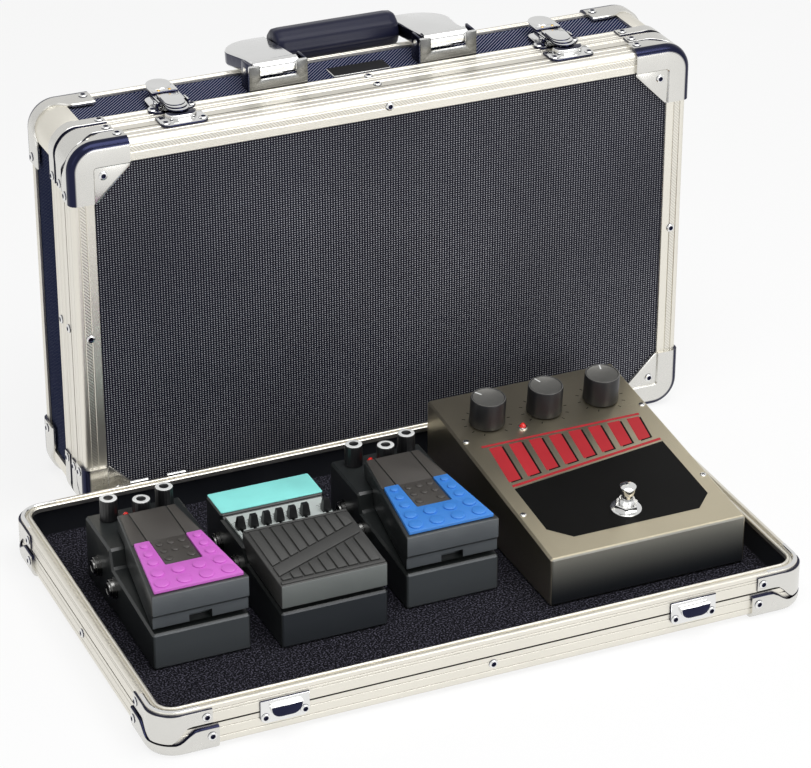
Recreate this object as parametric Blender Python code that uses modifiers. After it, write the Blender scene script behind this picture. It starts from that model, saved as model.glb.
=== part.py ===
"""Pedalboard: a shallow case half used as a tray for four effect pedals, and the closed case behind it.

Metres, +Z up. The origin lies on the floor, under the middle of the whole set. The tray and the cover of
the case are the same part: one lies on its panel, the other stands upright and closes the deep shell.
"""

import math

import bmesh
import bpy
from mathutils import Matrix, Vector

# Clearances
FIT_GAP = 0.0003
OVERLAP = 0.0006
WELD_DISTANCE = 0.00002

# Plan of both case halves, measured over the aluminium edge
PLAN_WIDTH = 0.468
PLAN_LENGTH = 0.288
CORNER_RADIUS = 0.018
LEAST_RADIUS = 0.001
CORNER_STEPS = 5

# Aluminium edge
TRAY_DEPTH = 0.031
SHELL_DEPTH = 0.058
EDGE_WALL = 0.0016
EDGE_ROUND = 0.003
EDGE_ROUND_SHARE = 0.3
FLANGE_WIDTH = 0.016
FLANGE_THICKNESS = 0.0012
RIM_WIDTH = 0.0075
RIM_HEIGHT = 0.004
RIM_CHAMFER = 0.0006
SEAM_HEIGHT = 0.0166
SEAM_WIDTH = 0.0009
SEAM_DEPTH = 0.0008
SHELL_RIM_BAND = 0.0128
SHELL_BACK_BAND = 0.009
CORNER_STRIP_LEG = 0.020

# Tongue of the shell and the groove that takes it
TONGUE_INSET = 0.0034
TONGUE_WIDTH = 0.0014
TONGUE_HEIGHT = 0.0016
TONGUE_PLAY = 0.0004

# Corner caps and the thin brackets above them
CAP_THICKNESS = 0.0024
CAP_TURN_SHARE = 0.7
CAP_LEG = 0.042
FLAP_THICKNESS = 0.0019
CAP_WALL_HEIGHT = 0.0160
SHELL_CAP_WALL_HEIGHT = 0.022
BRACKET_THICKNESS = 0.0012
BRACKET_LEG = 0.038
BRACKET_HEIGHT = 0.0105
BRACKET_BELOW_RIM = 0.002

# Boards and lining
PANEL_THICKNESS = 0.004
SHELL_BOARD = 0.005
LINING_FLOOR = 0.002
LINING_WALL = 0.004

# Places of the two halves
CASE_OFFSET = 0.057
CASE_GAP = 0.011

# Draw latches and their keepers
LATCH_X = 0.147
KEEPER_WIDTH = 0.034
KEEPER_LENGTH = 0.017
KEEPER_FROM_SPLIT = 0.006
KEEPER_PLATE = 0.0012
KEEPER_LIP_WIDTH = 0.022
KEEPER_LIP_LENGTH = 0.004
KEEPER_LIP_HEIGHT = 0.0054
KEEPER_LIP_TURN_SHARE = 0.8
LATCH_BASE_WIDTH = 0.034
LATCH_BASE_LENGTH = 0.028
LATCH_BASE_PLATE = 0.0014
LATCH_BASE_FROM_SPLIT = 0.002
LATCH_WAIST_SHARE = 0.72
LATCH_FRONT_LOBE_SHARE = 0.35
LATCH_REAR_LOBE_SHARE = 0.86
LATCH_REAR_LOBE_BACK_SHARE = 0.2
LATCH_PIVOT_BACK = 0.008
LATCH_PIVOT_UP = 0.005
LATCH_EAR_THICKNESS = 0.0015
LATCH_EAR_SIZE = 0.008
LEVER_WIDTH = 0.020
LEVER_CHEEK = 0.0016
LEVER_CHEEK_HEIGHT = 0.004
LEVER_CHEEK_LENGTH = 0.018
LEVER_PLATE_START = 0.012
LEVER_PLATE_END = 0.026
LEVER_PLATE = 0.0018
THUMB_PAD_RADIUS = 0.009
HOOK_PIVOT_BACK = 0.007
HOOK_WIDTH = 0.014
HOOK_STRAP = 0.0015
HOOK_REACH = 0.027
HOOK_RISE = 0.001
HOOK_EYE_RADIUS = 0.002

# Lift-off hinges
HINGE_X = 0.128
HINGE_LENGTH = 0.042
HINGE_RADIUS = 0.0022
HINGE_LEAF_WIDTH = 0.013
HINGE_LEAF = 0.0012
HINGE_NOTCH = 0.0026

# Carrying handle, folded back over the rear edge of the case
HANDLE_BRACKET_X = 0.065
HANDLE_PIN_UP = 0.0125
HANDLE_DROP = math.radians(8)
HANDLE_BARREL_RADIUS = 0.0062
HANDLE_PIN_RADIUS = 0.0026
HANDLE_CORE_RADIUS = 0.0045
ARM_THICKNESS = 0.011
ARM_ROOT_WIDTH = 0.034
ARM_SWELL = 0.004
ARM_CORNER = 0.026
ARM_CORNER_STEPS = 5
GRIP_LENGTH = 0.094
GRIP_RADIUS = 0.0135
GRIP_END_SHARE = 0.94
GRIP_PLAY = 0.0003
GRIP_CLEAR = 0.0005
BRACKET_WIDTH = 0.044
BRACKET_FROM_RIM = 0.0007
BRACKET_SHEET = 0.0020
BRACKET_PIN_BACK = 0.0085
BRACKET_LENGTH = 0.016
BRACKET_TOP = 0.0055
BRACKET_WINDOW_WIDTH = 0.027
BRACKET_WINDOW_DROP = 0.0050

# Things shared by the pedals
HOUSING_WALL = 0.0022
HOUSING_BEVEL = 0.0015
BOTTOM_PLATE = 0.0012
PEDAL_BASE_HEIGHT = 0.027
TREADLE_GAP = 0.0032
KNOB_STEPS = 20
KNOB_FACE_SHARE = 0.80
KNOB_SHOULDER_SHARE = 0.88
KNOB_SHOULDER_HEIGHT_SHARE = 0.95
KNOB_WAIST_SHARE = 0.94
KNOB_WAIST_HEIGHT_SHARE = 0.25
KNOB_SKIRT_HEIGHT_SHARE = 0.20

# Compact pedals with a studded pad
COMPACT_WIDTH = 0.068
COMPACT_LENGTH = 0.134
COMPACT_DECK_HEIGHT = 0.046
COMPACT_DECK_LENGTH = 0.050
COMPACT_DECK_RUN = 0.004
COMPACT_BASE_RISE = 0.006
COMPACT_TREADLE_HEIGHT = 0.056
COMPACT_TREADLE_RISE = 0.003
COMPACT_TREADLE_REAR = 0.030
COMPACT_TREADLE_REAR_WIDTH = 0.042
COMPACT_PIVOT_BACK = 0.044
COMPACT_PIVOT_UP = 0.052
PAD_THICKNESS = 0.0022
PAD_MARGIN = 0.0025
PAD_LENGTH = 0.060
PAD_NOTCH_LENGTH = 0.032
PAD_NOTCH_WIDTH = 0.026
STUD_HEIGHT = 0.0012
STUD_SIDES = 10
STUD_ROW_PITCH = 0.0125
STUD_FROM_EDGE = 0.007
FRONT_STUD_RADIUS = 0.0050
FRONT_STUD_COUNT = 4
SECOND_STUD_RADIUS = 0.0045
SECOND_STUD_COUNT = 3
LEG_STUD_RADIUS = 0.0034
LEG_STUD_SHRINK = 0.0004
LEG_STUD_PITCH = 0.011
LEG_STUD_COUNT = 3
COMPACT_KNOB_RADIUS = 0.0064
COMPACT_KNOB_HEIGHT = 0.016
COMPACT_KNOB_SPREAD = 0.020
COMPACT_KNOB_BACK = 0.010
COMPACT_MIDDLE_KNOB_BACK = 0.020

# Equalizer pedal
EQ_LENGTH = 0.140
EQ_DECK_HEIGHT = 0.044
EQ_DECK_LENGTH = 0.029
EQ_PANEL_LENGTH = 0.040
EQ_PANEL_DROP = 0.002
EQ_PANEL_THICKNESS = 0.0015
EQ_PANEL_MARGIN = 0.003
EQ_POCKET_DEPTH = 0.007
EQ_BASE_RISE = 0.004
EQ_TREADLE_HEIGHT = 0.0495
EQ_TREADLE_RISE = 0.004
EQ_PIVOT_BACK = 0.076
EQ_PIVOT_UP = 0.0475
SLIDER_COUNT = 6
SLIDER_PITCH = 0.0094
LEVEL_SLIDER_PITCH = 0.0155
SLIDER_CAP_WIDTH = 0.006
SLIDER_CAP_LENGTH = 0.0055
SLIDER_CAP_HEIGHT = 0.009
SLIDER_TIP_WIDTH_SHARE = 0.36
SLIDER_TIP_LENGTH_SHARE = 0.30
SLIDER_FOOT_SHARE = 0.25
SLIDER_STEM_WIDTH = 0.0016
SLIDER_STEM_LENGTH = 0.003
SLIDER_STEM_DEPTH = 0.004
SLIDER_TRAVEL = 0.008
SLOT_PLAY = 0.0004
SLIDER_MARGIN = 0.00675

# Large wedge pedal
FUZZ_WIDTH = 0.148
FUZZ_LENGTH = 0.205
FUZZ_FRONT_HEIGHT = 0.037
FUZZ_REAR_HEIGHT = 0.058
FUZZ_WALL = 0.0016
FUZZ_KNOB_RADIUS = 0.013
FUZZ_KNOB_HEIGHT = 0.021
FUZZ_KNOB_SPREAD = 0.045
FUZZ_KNOB_BACK = 0.040
SWITCH_FROM_FRONT = 0.036
SWITCH_WASHER_RADIUS = 0.011
SWITCH_WASHER = 0.0012
SWITCH_NUT_RADIUS = 0.008
SWITCH_NUT_HEIGHT = 0.004
SWITCH_BUSH_RADIUS = 0.0055
SWITCH_BUSH_HEIGHT = 0.009
PLUNGER_RADIUS = 0.004
PLUNGER_CAP_RADIUS = 0.006
PLUNGER_CAP_HEIGHT = 0.007
PLUNGER_DOME_SHARE = 0.6
PLUNGER_DOME_DROP_SHARE = 0.1
PLUNGER_EDGE_DROP_SHARE = 0.4
PLUNGER_FOOT_SHARE = 0.2
PLUNGER_TRAVEL = 0.0035
PLUNGER_BORE_PLAY = 0.0003

# Where the pedals stand in the tray: middle in X, rear edge in Y from the tray's rear wall
CHORUS_X = -0.1705
CHORUS_REAR = 0.069
EQ_X = -0.080
EQ_REAR = 0.072
DRIVE_X = 0.011
DRIVE_REAR = 0.066
FUZZ_X = 0.141
FUZZ_REAR = 0.031

# Worked-out places
EQ_WIDTH = (SLIDER_COUNT - 1) * SLIDER_PITCH + LEVEL_SLIDER_PITCH + 2 * SLIDER_MARGIN
KEEPER_REACH = KEEPER_LIP_HEIGHT + FIT_GAP
HANDLE_PIN_BACK = SHELL_RIM_BAND + BRACKET_FROM_RIM + BRACKET_PIN_BACK
HANDLE_REACH = SHELL_DEPTH - HANDLE_PIN_BACK + GRIP_CLEAR + GRIP_RADIUS
HANDLE_FAR = HANDLE_REACH + GRIP_RADIUS
HANDLE_OVERHANG = HANDLE_FAR * math.cos(HANDLE_DROP) + ARM_THICKNESS / 2 * math.sin(HANDLE_DROP)
HANDLE_BACK = HANDLE_PIN_BACK + HANDLE_OVERHANG
SET_LENGTH = (
    KEEPER_REACH + PLAN_LENGTH + CASE_GAP + TRAY_DEPTH + FIT_GAP + HANDLE_BACK
)
TRAY_FRONT_Y = -SET_LENGTH / 2 + KEEPER_REACH
TRAY_REAR_Y = TRAY_FRONT_Y + PLAN_LENGTH
TRAY_X = -CASE_OFFSET / 2
CASE_X = CASE_OFFSET / 2
COVER_FACE_Y = TRAY_REAR_Y + CASE_GAP
SPLIT_Y = COVER_FACE_Y + TRAY_DEPTH
SHELL_BACK_Y = SPLIT_Y + FIT_GAP + SHELL_DEPTH
CASE_MIDDLE_Z = CAP_THICKNESS + PLAN_LENGTH / 2
CASE_TOP_Z = CAP_THICKNESS + PLAN_LENGTH
TRAY_RIM_Z = CAP_THICKNESS + TRAY_DEPTH
BOARD_INSET = EDGE_WALL + FIT_GAP
EDGE_ROUND_TURN = EDGE_ROUND * EDGE_ROUND_SHARE
HANDLE_PIN_Y = SPLIT_Y + FIT_GAP + HANDLE_PIN_BACK
PANEL_BOTTOM = FLANGE_THICKNESS + FIT_GAP
LINING_BOTTOM = PANEL_BOTTOM + PANEL_THICKNESS + FIT_GAP
PEDAL_FLOOR = CAP_THICKNESS + LINING_BOTTOM + LINING_FLOOR + FIT_GAP
FUZZ_SLOPE = math.atan2(FUZZ_REAR_HEIGHT - FUZZ_FRONT_HEIGHT, FUZZ_LENGTH)


# Scene helpers

def clear_scene():
    for obj in list(bpy.data.objects):
        bpy.data.objects.remove(obj)


def new_collection(name):
    collection = bpy.data.collections.new(name)
    bpy.context.scene.collection.children.link(collection)
    return collection


def new_material(name, colour, roughness, metallic=0.0):
    material = bpy.data.materials.new(name)
    material.use_nodes = True
    shader = material.node_tree.nodes["Principled BSDF"]
    shader.inputs["Base Color"].default_value = (*colour, 1.0)
    shader.inputs["Roughness"].default_value = roughness
    shader.inputs["Metallic"].default_value = metallic
    return material


def new_empty(name, location, rotation=(0.0, 0.0, 0.0), parent=None):
    empty = bpy.data.objects.new(name, None)
    empty.location = location
    empty.rotation_euler = rotation
    empty.parent = parent
    PARTS.objects.link(empty)
    return empty


def new_part(name, mesh, material, parent=None, location=(0.0, 0.0, 0.0), rotation=(0.0, 0.0, 0.0)):
    """One sub-part: an object with its mesh, its material and its place."""
    part = bpy.data.objects.new(name, mesh)
    part.location = location
    part.rotation_euler = rotation
    part.parent = parent
    if not mesh.materials:
        mesh.materials.append(material)
    PARTS.objects.link(part)
    return part


def new_helper(name, mesh):
    """A shape that only cuts or joins another one."""
    helper = bpy.data.objects.new(name, mesh)
    helper.hide_render = True
    helper.display_type = "WIRE"
    CUTTERS.objects.link(helper)
    return helper


def boolean(target, tool, operation):
    modifier = target.modifiers.new(operation.lower(), "BOOLEAN")
    modifier.object = tool
    modifier.operation = operation
    modifier.solver = "EXACT"


def bevelled(part, width, segments=1):
    modifier = part.modifiers.new("edges", "BEVEL")
    modifier.width = width
    modifier.segments = segments
    modifier.limit_method = "ANGLE"
    modifier.angle_limit = math.radians(40)
    return part


def baked_mesh(name, target):
    """The mesh that an object and its modifiers make, for parts that share it."""
    bpy.context.view_layer.update()
    graph = bpy.context.evaluated_depsgraph_get()
    mesh = bpy.data.meshes.new_from_object(target.evaluated_get(graph))
    mesh.name = name
    mesh.materials.clear()
    return mesh


def mesh_from(name, shape):
    bmesh.ops.recalc_face_normals(shape, faces=shape.faces[:])
    mesh = bpy.data.meshes.new(name)
    shape.to_mesh(mesh)
    shape.free()
    return mesh


def smooth(mesh, angle=35.0):
    mesh.shade_smooth()
    mesh.set_sharp_from_angle(angle=math.radians(angle))
    return mesh


# Shape helpers

def add_box(shape, low, high):
    """A box between two corners, added to a shape."""
    size = [b - a for a, b in zip(low, high)]
    middle = [(a + b) / 2 for a, b in zip(low, high)]
    place = Matrix.Translation(middle) @ Matrix.Diagonal((*size, 1.0))
    bmesh.ops.create_cube(shape, size=1.0, matrix=place)


def box_mesh(name, *boxes):
    shape = bmesh.new()
    for low, high in boxes:
        add_box(shape, low, high)
    return mesh_from(name, shape)


def add_cylinder(shape, radius, low, high, axis="Z", middle=(0.0, 0.0), sides=16):
    """A cylinder along an axis, from low to high on it, at a place in the plane across it."""
    turn = {
        "X": Matrix.Rotation(math.pi / 2, 4, "Y"),
        "Y": Matrix.Rotation(-math.pi / 2, 4, "X"),
        "Z": Matrix.Identity(4),
    }[axis]
    centre = {
        "X": ((low + high) / 2, *middle),
        "Y": (middle[0], (low + high) / 2, middle[1]),
        "Z": (*middle, (low + high) / 2),
    }[axis]
    bmesh.ops.create_cone(
        shape,
        cap_ends=True,
        segments=sides,
        radius1=radius,
        radius2=radius,
        depth=high - low,
        matrix=Matrix.Translation(centre) @ turn,
    )


def rounded_outline(width, length, radius):
    """Points round a rectangle with rounded corners, starting at its right front corner."""
    points = []
    for quarter in range(4):
        middle_x = (width / 2 - radius) * (1 if quarter in (0, 3) else -1)
        middle_y = (length / 2 - radius) * (1 if quarter in (0, 1) else -1)
        for step in range(CORNER_STEPS + 1):
            angle = (quarter + step / CORNER_STEPS) * math.pi / 2
            points.append((middle_x + radius * math.cos(angle), middle_y + radius * math.sin(angle)))
    return points


def loft(shape, first, second):
    """A band of faces between two loops of as many points."""
    for index in range(len(first)):
        after = (index + 1) % len(first)
        shape.faces.new((first[index], first[after], second[after], second[index]))


def plan_loop(shape, inset, height):
    """A closed loop of points that follows the plan of a case half, set in from its outside."""
    radius = max(CORNER_RADIUS - inset, LEAST_RADIUS)
    outline = rounded_outline(PLAN_WIDTH - 2 * inset, PLAN_LENGTH - 2 * inset, radius)
    return [shape.verts.new((x, y, height)) for x, y in outline]


def plan_ring(name, section):
    """A ring round the plan: its section is a closed list of (inset, height) points."""
    shape = bmesh.new()
    loops = [plan_loop(shape, inset, height) for inset, height in section]
    for first, second in zip(loops, loops[1:] + loops[:1]):
        loft(shape, first, second)
    return mesh_from(name, shape)


def lofted_solid(name, shape, loops):
    """A solid through its loops, with the first and the last one closed by flat faces."""
    for first, second in zip(loops, loops[1:]):
        loft(shape, first, second)
    shape.faces.new(loops[0])
    shape.faces.new(loops[-1])
    return mesh_from(name, shape)


def plan_bowl(name, section):
    """A solid round the plan, through a line of (inset, height) points."""
    shape = bmesh.new()
    return lofted_solid(name, shape, [plan_loop(shape, inset, height) for inset, height in section])


def prism_mesh(name, outline, half_width, taper=None):
    """A (y, z) outline drawn out along X on both sides; taper gives the half width at each y."""
    shape = bmesh.new()
    verts = [shape.verts.new((-half_width, y, z)) for y, z in outline]
    face = shape.faces.new(verts)
    drawn = bmesh.ops.extrude_face_region(shape, geom=[face])
    moved = [item for item in drawn["geom"] if isinstance(item, bmesh.types.BMVert)]
    bmesh.ops.translate(shape, verts=moved, vec=(2 * half_width, 0.0, 0.0))
    if taper:
        for vert in shape.verts:
            vert.co.x = math.copysign(taper(vert.co.y), vert.co.x)
    return mesh_from(name, shape)


def plate_mesh(name, outline, low, high):
    """An (x, y) outline drawn out along Z."""
    shape = bmesh.new()
    face = shape.faces.new([shape.verts.new((x, y, low)) for x, y in outline])
    drawn = bmesh.ops.extrude_face_region(shape, geom=[face])
    moved = [item for item in drawn["geom"] if isinstance(item, bmesh.types.BMVert)]
    bmesh.ops.translate(shape, verts=moved, vec=(0.0, 0.0, high - low))
    return mesh_from(name, shape)


def turned(part, steps=KNOB_STEPS):
    """A profile in the XZ plane turned about Z."""
    screw = part.modifiers.new("turn", "SCREW")
    screw.steps = steps
    screw.render_steps = steps
    screw.use_merge_vertices = True
    screw.merge_threshold = WELD_DISTANCE
    screw.use_smooth_shade = True
    return part


def profile_mesh(name, points, closed=False):
    """A line of (radius, height) points for turning."""
    mesh = bpy.data.meshes.new(name)
    verts = [(radius, 0.0, height) for radius, height in points]
    edges = [(i, i + 1) for i in range(len(verts) - 1)]
    if closed:
        edges.append((len(verts) - 1, 0))
    mesh.from_pydata(verts, edges, [])
    return mesh


# Aluminium edges

def corner_boxes(name, leg, bottom, top):
    """Four boxes, one at each corner of the plan, that keep the corner of a ring."""
    boxes = []
    reach = CAP_THICKNESS * 2
    for side_x in (-1, 1):
        for side_y in (-1, 1):
            xs = sorted((side_x * (PLAN_WIDTH / 2 - leg), side_x * (PLAN_WIDTH / 2 + reach)))
            ys = sorted((side_y * (PLAN_LENGTH / 2 - leg), side_y * (PLAN_LENGTH / 2 + reach)))
            boxes.append(((xs[0], ys[0], bottom), (xs[1], ys[1], top)))
    return new_helper(name, box_mesh(name, *boxes))


def corner_pieces(name, section, leg):
    """The four corner stretches of a ring, as a helper to join to an edge."""
    ring = new_helper(name, plan_ring(name, section))
    heights = [height for _, height in section]
    boxes = corner_boxes(name + "_box", leg, min(heights) - OVERLAP, max(heights) + OVERLAP)
    boolean(ring, boxes, "INTERSECT")
    return ring


def cap_section(wall_height):
    """Section of a corner cap: it wraps the wall and the flange and ends in the middle of both."""
    thick = CAP_THICKNESS
    cap_turn = thick * CAP_TURN_SHARE
    mid_wall = EDGE_WALL / 2
    mid_flange = FLANGE_THICKNESS / 2
    return [
        (-thick, wall_height),
        (-thick, 0.0),
        (-cap_turn, -cap_turn),
        (0.0, -thick),
        (FLANGE_WIDTH, -thick),
        (FLANGE_WIDTH, mid_flange),
        (EDGE_ROUND, mid_flange),
        (mid_wall + EDGE_ROUND_TURN / 2, mid_flange + EDGE_ROUND_TURN / 2),
        (mid_wall, EDGE_ROUND),
        (mid_wall, wall_height),
    ]


def cap_flaps(name):
    """Flat webs that fill the inner corner of each cap."""
    shape = bmesh.new()
    inner = FLANGE_WIDTH - OVERLAP
    for side_x in (-1, 1):
        for side_y in (-1, 1):
            outline = [(inner, inner), (CAP_LEG - OVERLAP, inner), (inner, CAP_LEG - OVERLAP)]
            verts = [
                shape.verts.new(
                    (side_x * (PLAN_WIDTH / 2 - u), side_y * (PLAN_LENGTH / 2 - v), -FLAP_THICKNESS)
                )
                for u, v in outline
            ]
            drawn = bmesh.ops.extrude_face_region(shape, geom=[shape.faces.new(verts)])
            moved = [item for item in drawn["geom"] if isinstance(item, bmesh.types.BMVert)]
            bmesh.ops.translate(shape, verts=moved, vec=(0.0, 0.0, FLAP_THICKNESS + FLANGE_THICKNESS / 3))
    return new_helper(name, mesh_from(name, shape))


def bracket_section(bottom):
    return [
        (-BRACKET_THICKNESS, bottom),
        (-BRACKET_THICKNESS, bottom + BRACKET_HEIGHT),
        (OVERLAP, bottom + BRACKET_HEIGHT),
        (OVERLAP, bottom),
    ]


def hinge_notches(name, side_y, rim):
    """Room for the hinge barrels in the outer edge of a rim."""
    half = HINGE_LENGTH / 2 + FIT_GAP
    boxes = []
    for middle in (-HINGE_X, HINGE_X):
        ys = sorted((side_y * (PLAN_LENGTH / 2 - HINGE_NOTCH), side_y * (PLAN_LENGTH / 2 + HINGE_NOTCH)))
        boxes.append(
            ((middle - half, ys[0], rim - HINGE_NOTCH), (middle + half, ys[1], rim + HINGE_NOTCH))
        )
    return new_helper(name, box_mesh(name, *boxes))


def tray_edge_section():
    """Section of the edge of the tray and the cover, from its rounded foot round to its seam."""
    groove_low = TONGUE_INSET - TONGUE_PLAY
    groove_high = TONGUE_INSET + TONGUE_WIDTH + TONGUE_PLAY
    groove_floor = TRAY_DEPTH - TONGUE_HEIGHT - TONGUE_PLAY
    return [
        (0.0, EDGE_ROUND),
        (EDGE_ROUND_TURN, EDGE_ROUND_TURN),
        (EDGE_ROUND, 0.0),
        (FLANGE_WIDTH, 0.0),
        (FLANGE_WIDTH, FLANGE_THICKNESS),
        (EDGE_WALL, FLANGE_THICKNESS),
        (EDGE_WALL, TRAY_DEPTH - RIM_HEIGHT),
        (RIM_WIDTH, TRAY_DEPTH - RIM_HEIGHT),
        (RIM_WIDTH, TRAY_DEPTH),
        (groove_high, TRAY_DEPTH),
        (groove_high, groove_floor),
        (groove_low, groove_floor),
        (groove_low, TRAY_DEPTH),
        (RIM_CHAMFER, TRAY_DEPTH),
        (0.0, TRAY_DEPTH - RIM_CHAMFER),
        (0.0, SEAM_HEIGHT + SEAM_WIDTH),
        (SEAM_DEPTH, SEAM_HEIGHT + SEAM_WIDTH),
        (SEAM_DEPTH, SEAM_HEIGHT),
        (0.0, SEAM_HEIGHT),
    ]


def tray_edge_mesh():
    """The edge of the tray and the cover, with its corner caps and brackets riveted on."""
    edge = new_helper("tray_edge_blank", plan_ring("tray_edge_blank", tray_edge_section()))
    boolean(edge, hinge_notches("tray_hinge_notch", 1, TRAY_DEPTH), "DIFFERENCE")
    boolean(edge, corner_pieces("tray_cap", cap_section(CAP_WALL_HEIGHT), CAP_LEG), "UNION")
    boolean(edge, cap_flaps("tray_cap_flap"), "UNION")
    bracket_bottom = TRAY_DEPTH - BRACKET_BELOW_RIM - BRACKET_HEIGHT
    boolean(edge, corner_pieces("tray_bracket", bracket_section(bracket_bottom), BRACKET_LEG), "UNION")
    return baked_mesh("tray_edge", edge)


def shell_rim_section():
    low = SHELL_DEPTH - SHELL_RIM_BAND
    tongue_top = SHELL_DEPTH + TONGUE_HEIGHT
    return [
        (0.0, low),
        (EDGE_WALL, low),
        (EDGE_WALL, SHELL_DEPTH - RIM_HEIGHT),
        (RIM_WIDTH, SHELL_DEPTH - RIM_HEIGHT),
        (RIM_WIDTH, SHELL_DEPTH),
        (TONGUE_INSET + TONGUE_WIDTH, SHELL_DEPTH),
        (TONGUE_INSET + TONGUE_WIDTH, tongue_top),
        (TONGUE_INSET, tongue_top),
        (TONGUE_INSET, SHELL_DEPTH),
        (RIM_CHAMFER, SHELL_DEPTH),
        (0.0, SHELL_DEPTH - RIM_CHAMFER),
    ]


def shell_rim_mesh():
    """The rim of the deep shell, with its tongue and corner brackets."""
    rim = new_helper("shell_rim_blank", plan_ring("shell_rim_blank", shell_rim_section()))
    boolean(rim, hinge_notches("shell_hinge_notch", -1, SHELL_DEPTH), "DIFFERENCE")
    bracket_bottom = SHELL_DEPTH - BRACKET_BELOW_RIM - BRACKET_HEIGHT
    boolean(rim, corner_pieces("shell_bracket", bracket_section(bracket_bottom), BRACKET_LEG), "UNION")
    return baked_mesh("shell_rim", rim)


def shell_back_mesh():
    """The back edge of the deep shell, with its corner strips along the depth and its caps."""
    section = [
        (0.0, EDGE_ROUND),
        (EDGE_ROUND_TURN, EDGE_ROUND_TURN),
        (EDGE_ROUND, 0.0),
        (FLANGE_WIDTH, 0.0),
        (FLANGE_WIDTH, FLANGE_THICKNESS),
        (EDGE_WALL, FLANGE_THICKNESS),
        (EDGE_WALL, SHELL_BACK_BAND),
        (0.0, SHELL_BACK_BAND),
    ]
    edge = new_helper("shell_back_blank", plan_ring("shell_back_blank", section))
    strip_top = SHELL_DEPTH - SHELL_RIM_BAND - FIT_GAP
    strip = [
        (0.0, SHELL_BACK_BAND - OVERLAP),
        (EDGE_WALL, SHELL_BACK_BAND - OVERLAP),
        (EDGE_WALL, strip_top),
        (0.0, strip_top),
    ]
    boolean(edge, corner_pieces("shell_strip", strip, CORNER_STRIP_LEG), "UNION")
    boolean(edge, corner_pieces("shell_cap", cap_section(SHELL_CAP_WALL_HEIGHT), CAP_LEG), "UNION")
    boolean(edge, cap_flaps("shell_cap_flap"), "UNION")
    return baked_mesh("shell_back", edge)


# Boards and lining

def panel_mesh():
    top = PANEL_BOTTOM + PANEL_THICKNESS
    return plan_bowl("half_panel", [(BOARD_INSET, PANEL_BOTTOM), (BOARD_INSET, top)])


def shell_box_mesh():
    """Back board and four side boards of the deep shell, glued into one box."""
    top = SHELL_DEPTH - RIM_HEIGHT - FIT_GAP
    inside = BOARD_INSET + SHELL_BOARD
    floor = PANEL_BOTTOM + SHELL_BOARD
    section = [(BOARD_INSET, PANEL_BOTTOM), (BOARD_INSET, top), (inside, top), (inside, floor)]
    return plan_bowl("shell_box", section)


def lining_mesh():
    """Fleece floor and padded walls of the tray."""
    top = TRAY_DEPTH - RIM_HEIGHT - FIT_GAP
    inside = BOARD_INSET + LINING_WALL
    floor = LINING_BOTTOM + LINING_FLOOR
    section = [(BOARD_INSET, LINING_BOTTOM), (BOARD_INSET, top), (inside, top), (inside, floor)]
    return plan_bowl("tray_lining", section)


# Latches, keepers and hinges; local Y runs from the split towards the shell, local Z out of the wall

def keeper_mesh():
    """Riveted plate with the raised lip that a hook pulls on."""
    back = -KEEPER_FROM_SPLIT
    front = back - KEEPER_LENGTH
    plate_top = FIT_GAP + KEEPER_PLATE
    lip_middle = (back + front) / 2
    half_lip = KEEPER_LIP_LENGTH / 2
    plate = new_helper(
        "keeper_plate",
        box_mesh(
            "keeper_plate",
            ((-KEEPER_WIDTH / 2, front, FIT_GAP), (KEEPER_WIDTH / 2, back, plate_top)),
        ),
    )
    lip_outline = [
        (lip_middle - half_lip, FIT_GAP + OVERLAP),
        (lip_middle - half_lip * 2, KEEPER_REACH * KEEPER_LIP_TURN_SHARE),
        (lip_middle - half_lip, KEEPER_REACH),
        (lip_middle + half_lip, KEEPER_REACH),
        (lip_middle + half_lip, FIT_GAP + OVERLAP),
    ]
    lip = new_helper("keeper_lip", prism_mesh("keeper_lip", lip_outline, KEEPER_LIP_WIDTH / 2))
    boolean(plate, lip, "UNION")
    return baked_mesh("latch_keeper", plate)


def latch_base_mesh():
    """Base plate of a latch with the two ears that carry the lever."""
    front = LATCH_BASE_FROM_SPLIT
    back = front + LATCH_BASE_LENGTH
    half = LATCH_BASE_WIDTH / 2
    waist = half * LATCH_WAIST_SHARE
    rear_lobe = half * LATCH_REAR_LOBE_SHARE
    middle = (front + back) / 2
    front_lobe_end = front + LATCH_BASE_LENGTH * LATCH_FRONT_LOBE_SHARE
    rear_lobe_y = back - LATCH_BASE_LENGTH * LATCH_REAR_LOBE_BACK_SHARE
    outline = [
        (-half, front),
        (half, front),
        (half, front_lobe_end),
        (waist, middle),
        (rear_lobe, rear_lobe_y),
        (waist, back),
        (-waist, back),
        (-rear_lobe, rear_lobe_y),
        (-waist, middle),
        (-half, front_lobe_end),
    ]
    plate_top = FIT_GAP + LATCH_BASE_PLATE
    base = new_helper("latch_plate", plate_mesh("latch_plate", outline, FIT_GAP, plate_top))
    ear_low = LEVER_WIDTH / 2 + FIT_GAP
    ears = bmesh.new()
    for side in (-1, 1):
        xs = sorted((side * ear_low, side * (ear_low + LATCH_EAR_THICKNESS)))
        low_y = LATCH_PIVOT_BACK - LATCH_EAR_SIZE / 2
        high_y = LATCH_PIVOT_BACK + LATCH_EAR_SIZE / 2
        ear_top = LATCH_PIVOT_UP + LATCH_EAR_SIZE / 4
        add_box(ears, (xs[0], low_y, FIT_GAP + OVERLAP), (xs[1], high_y, ear_top))
    boolean(base, new_helper("latch_ears", mesh_from("latch_ears", ears)), "UNION")
    return baked_mesh("latch_base", base)


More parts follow.
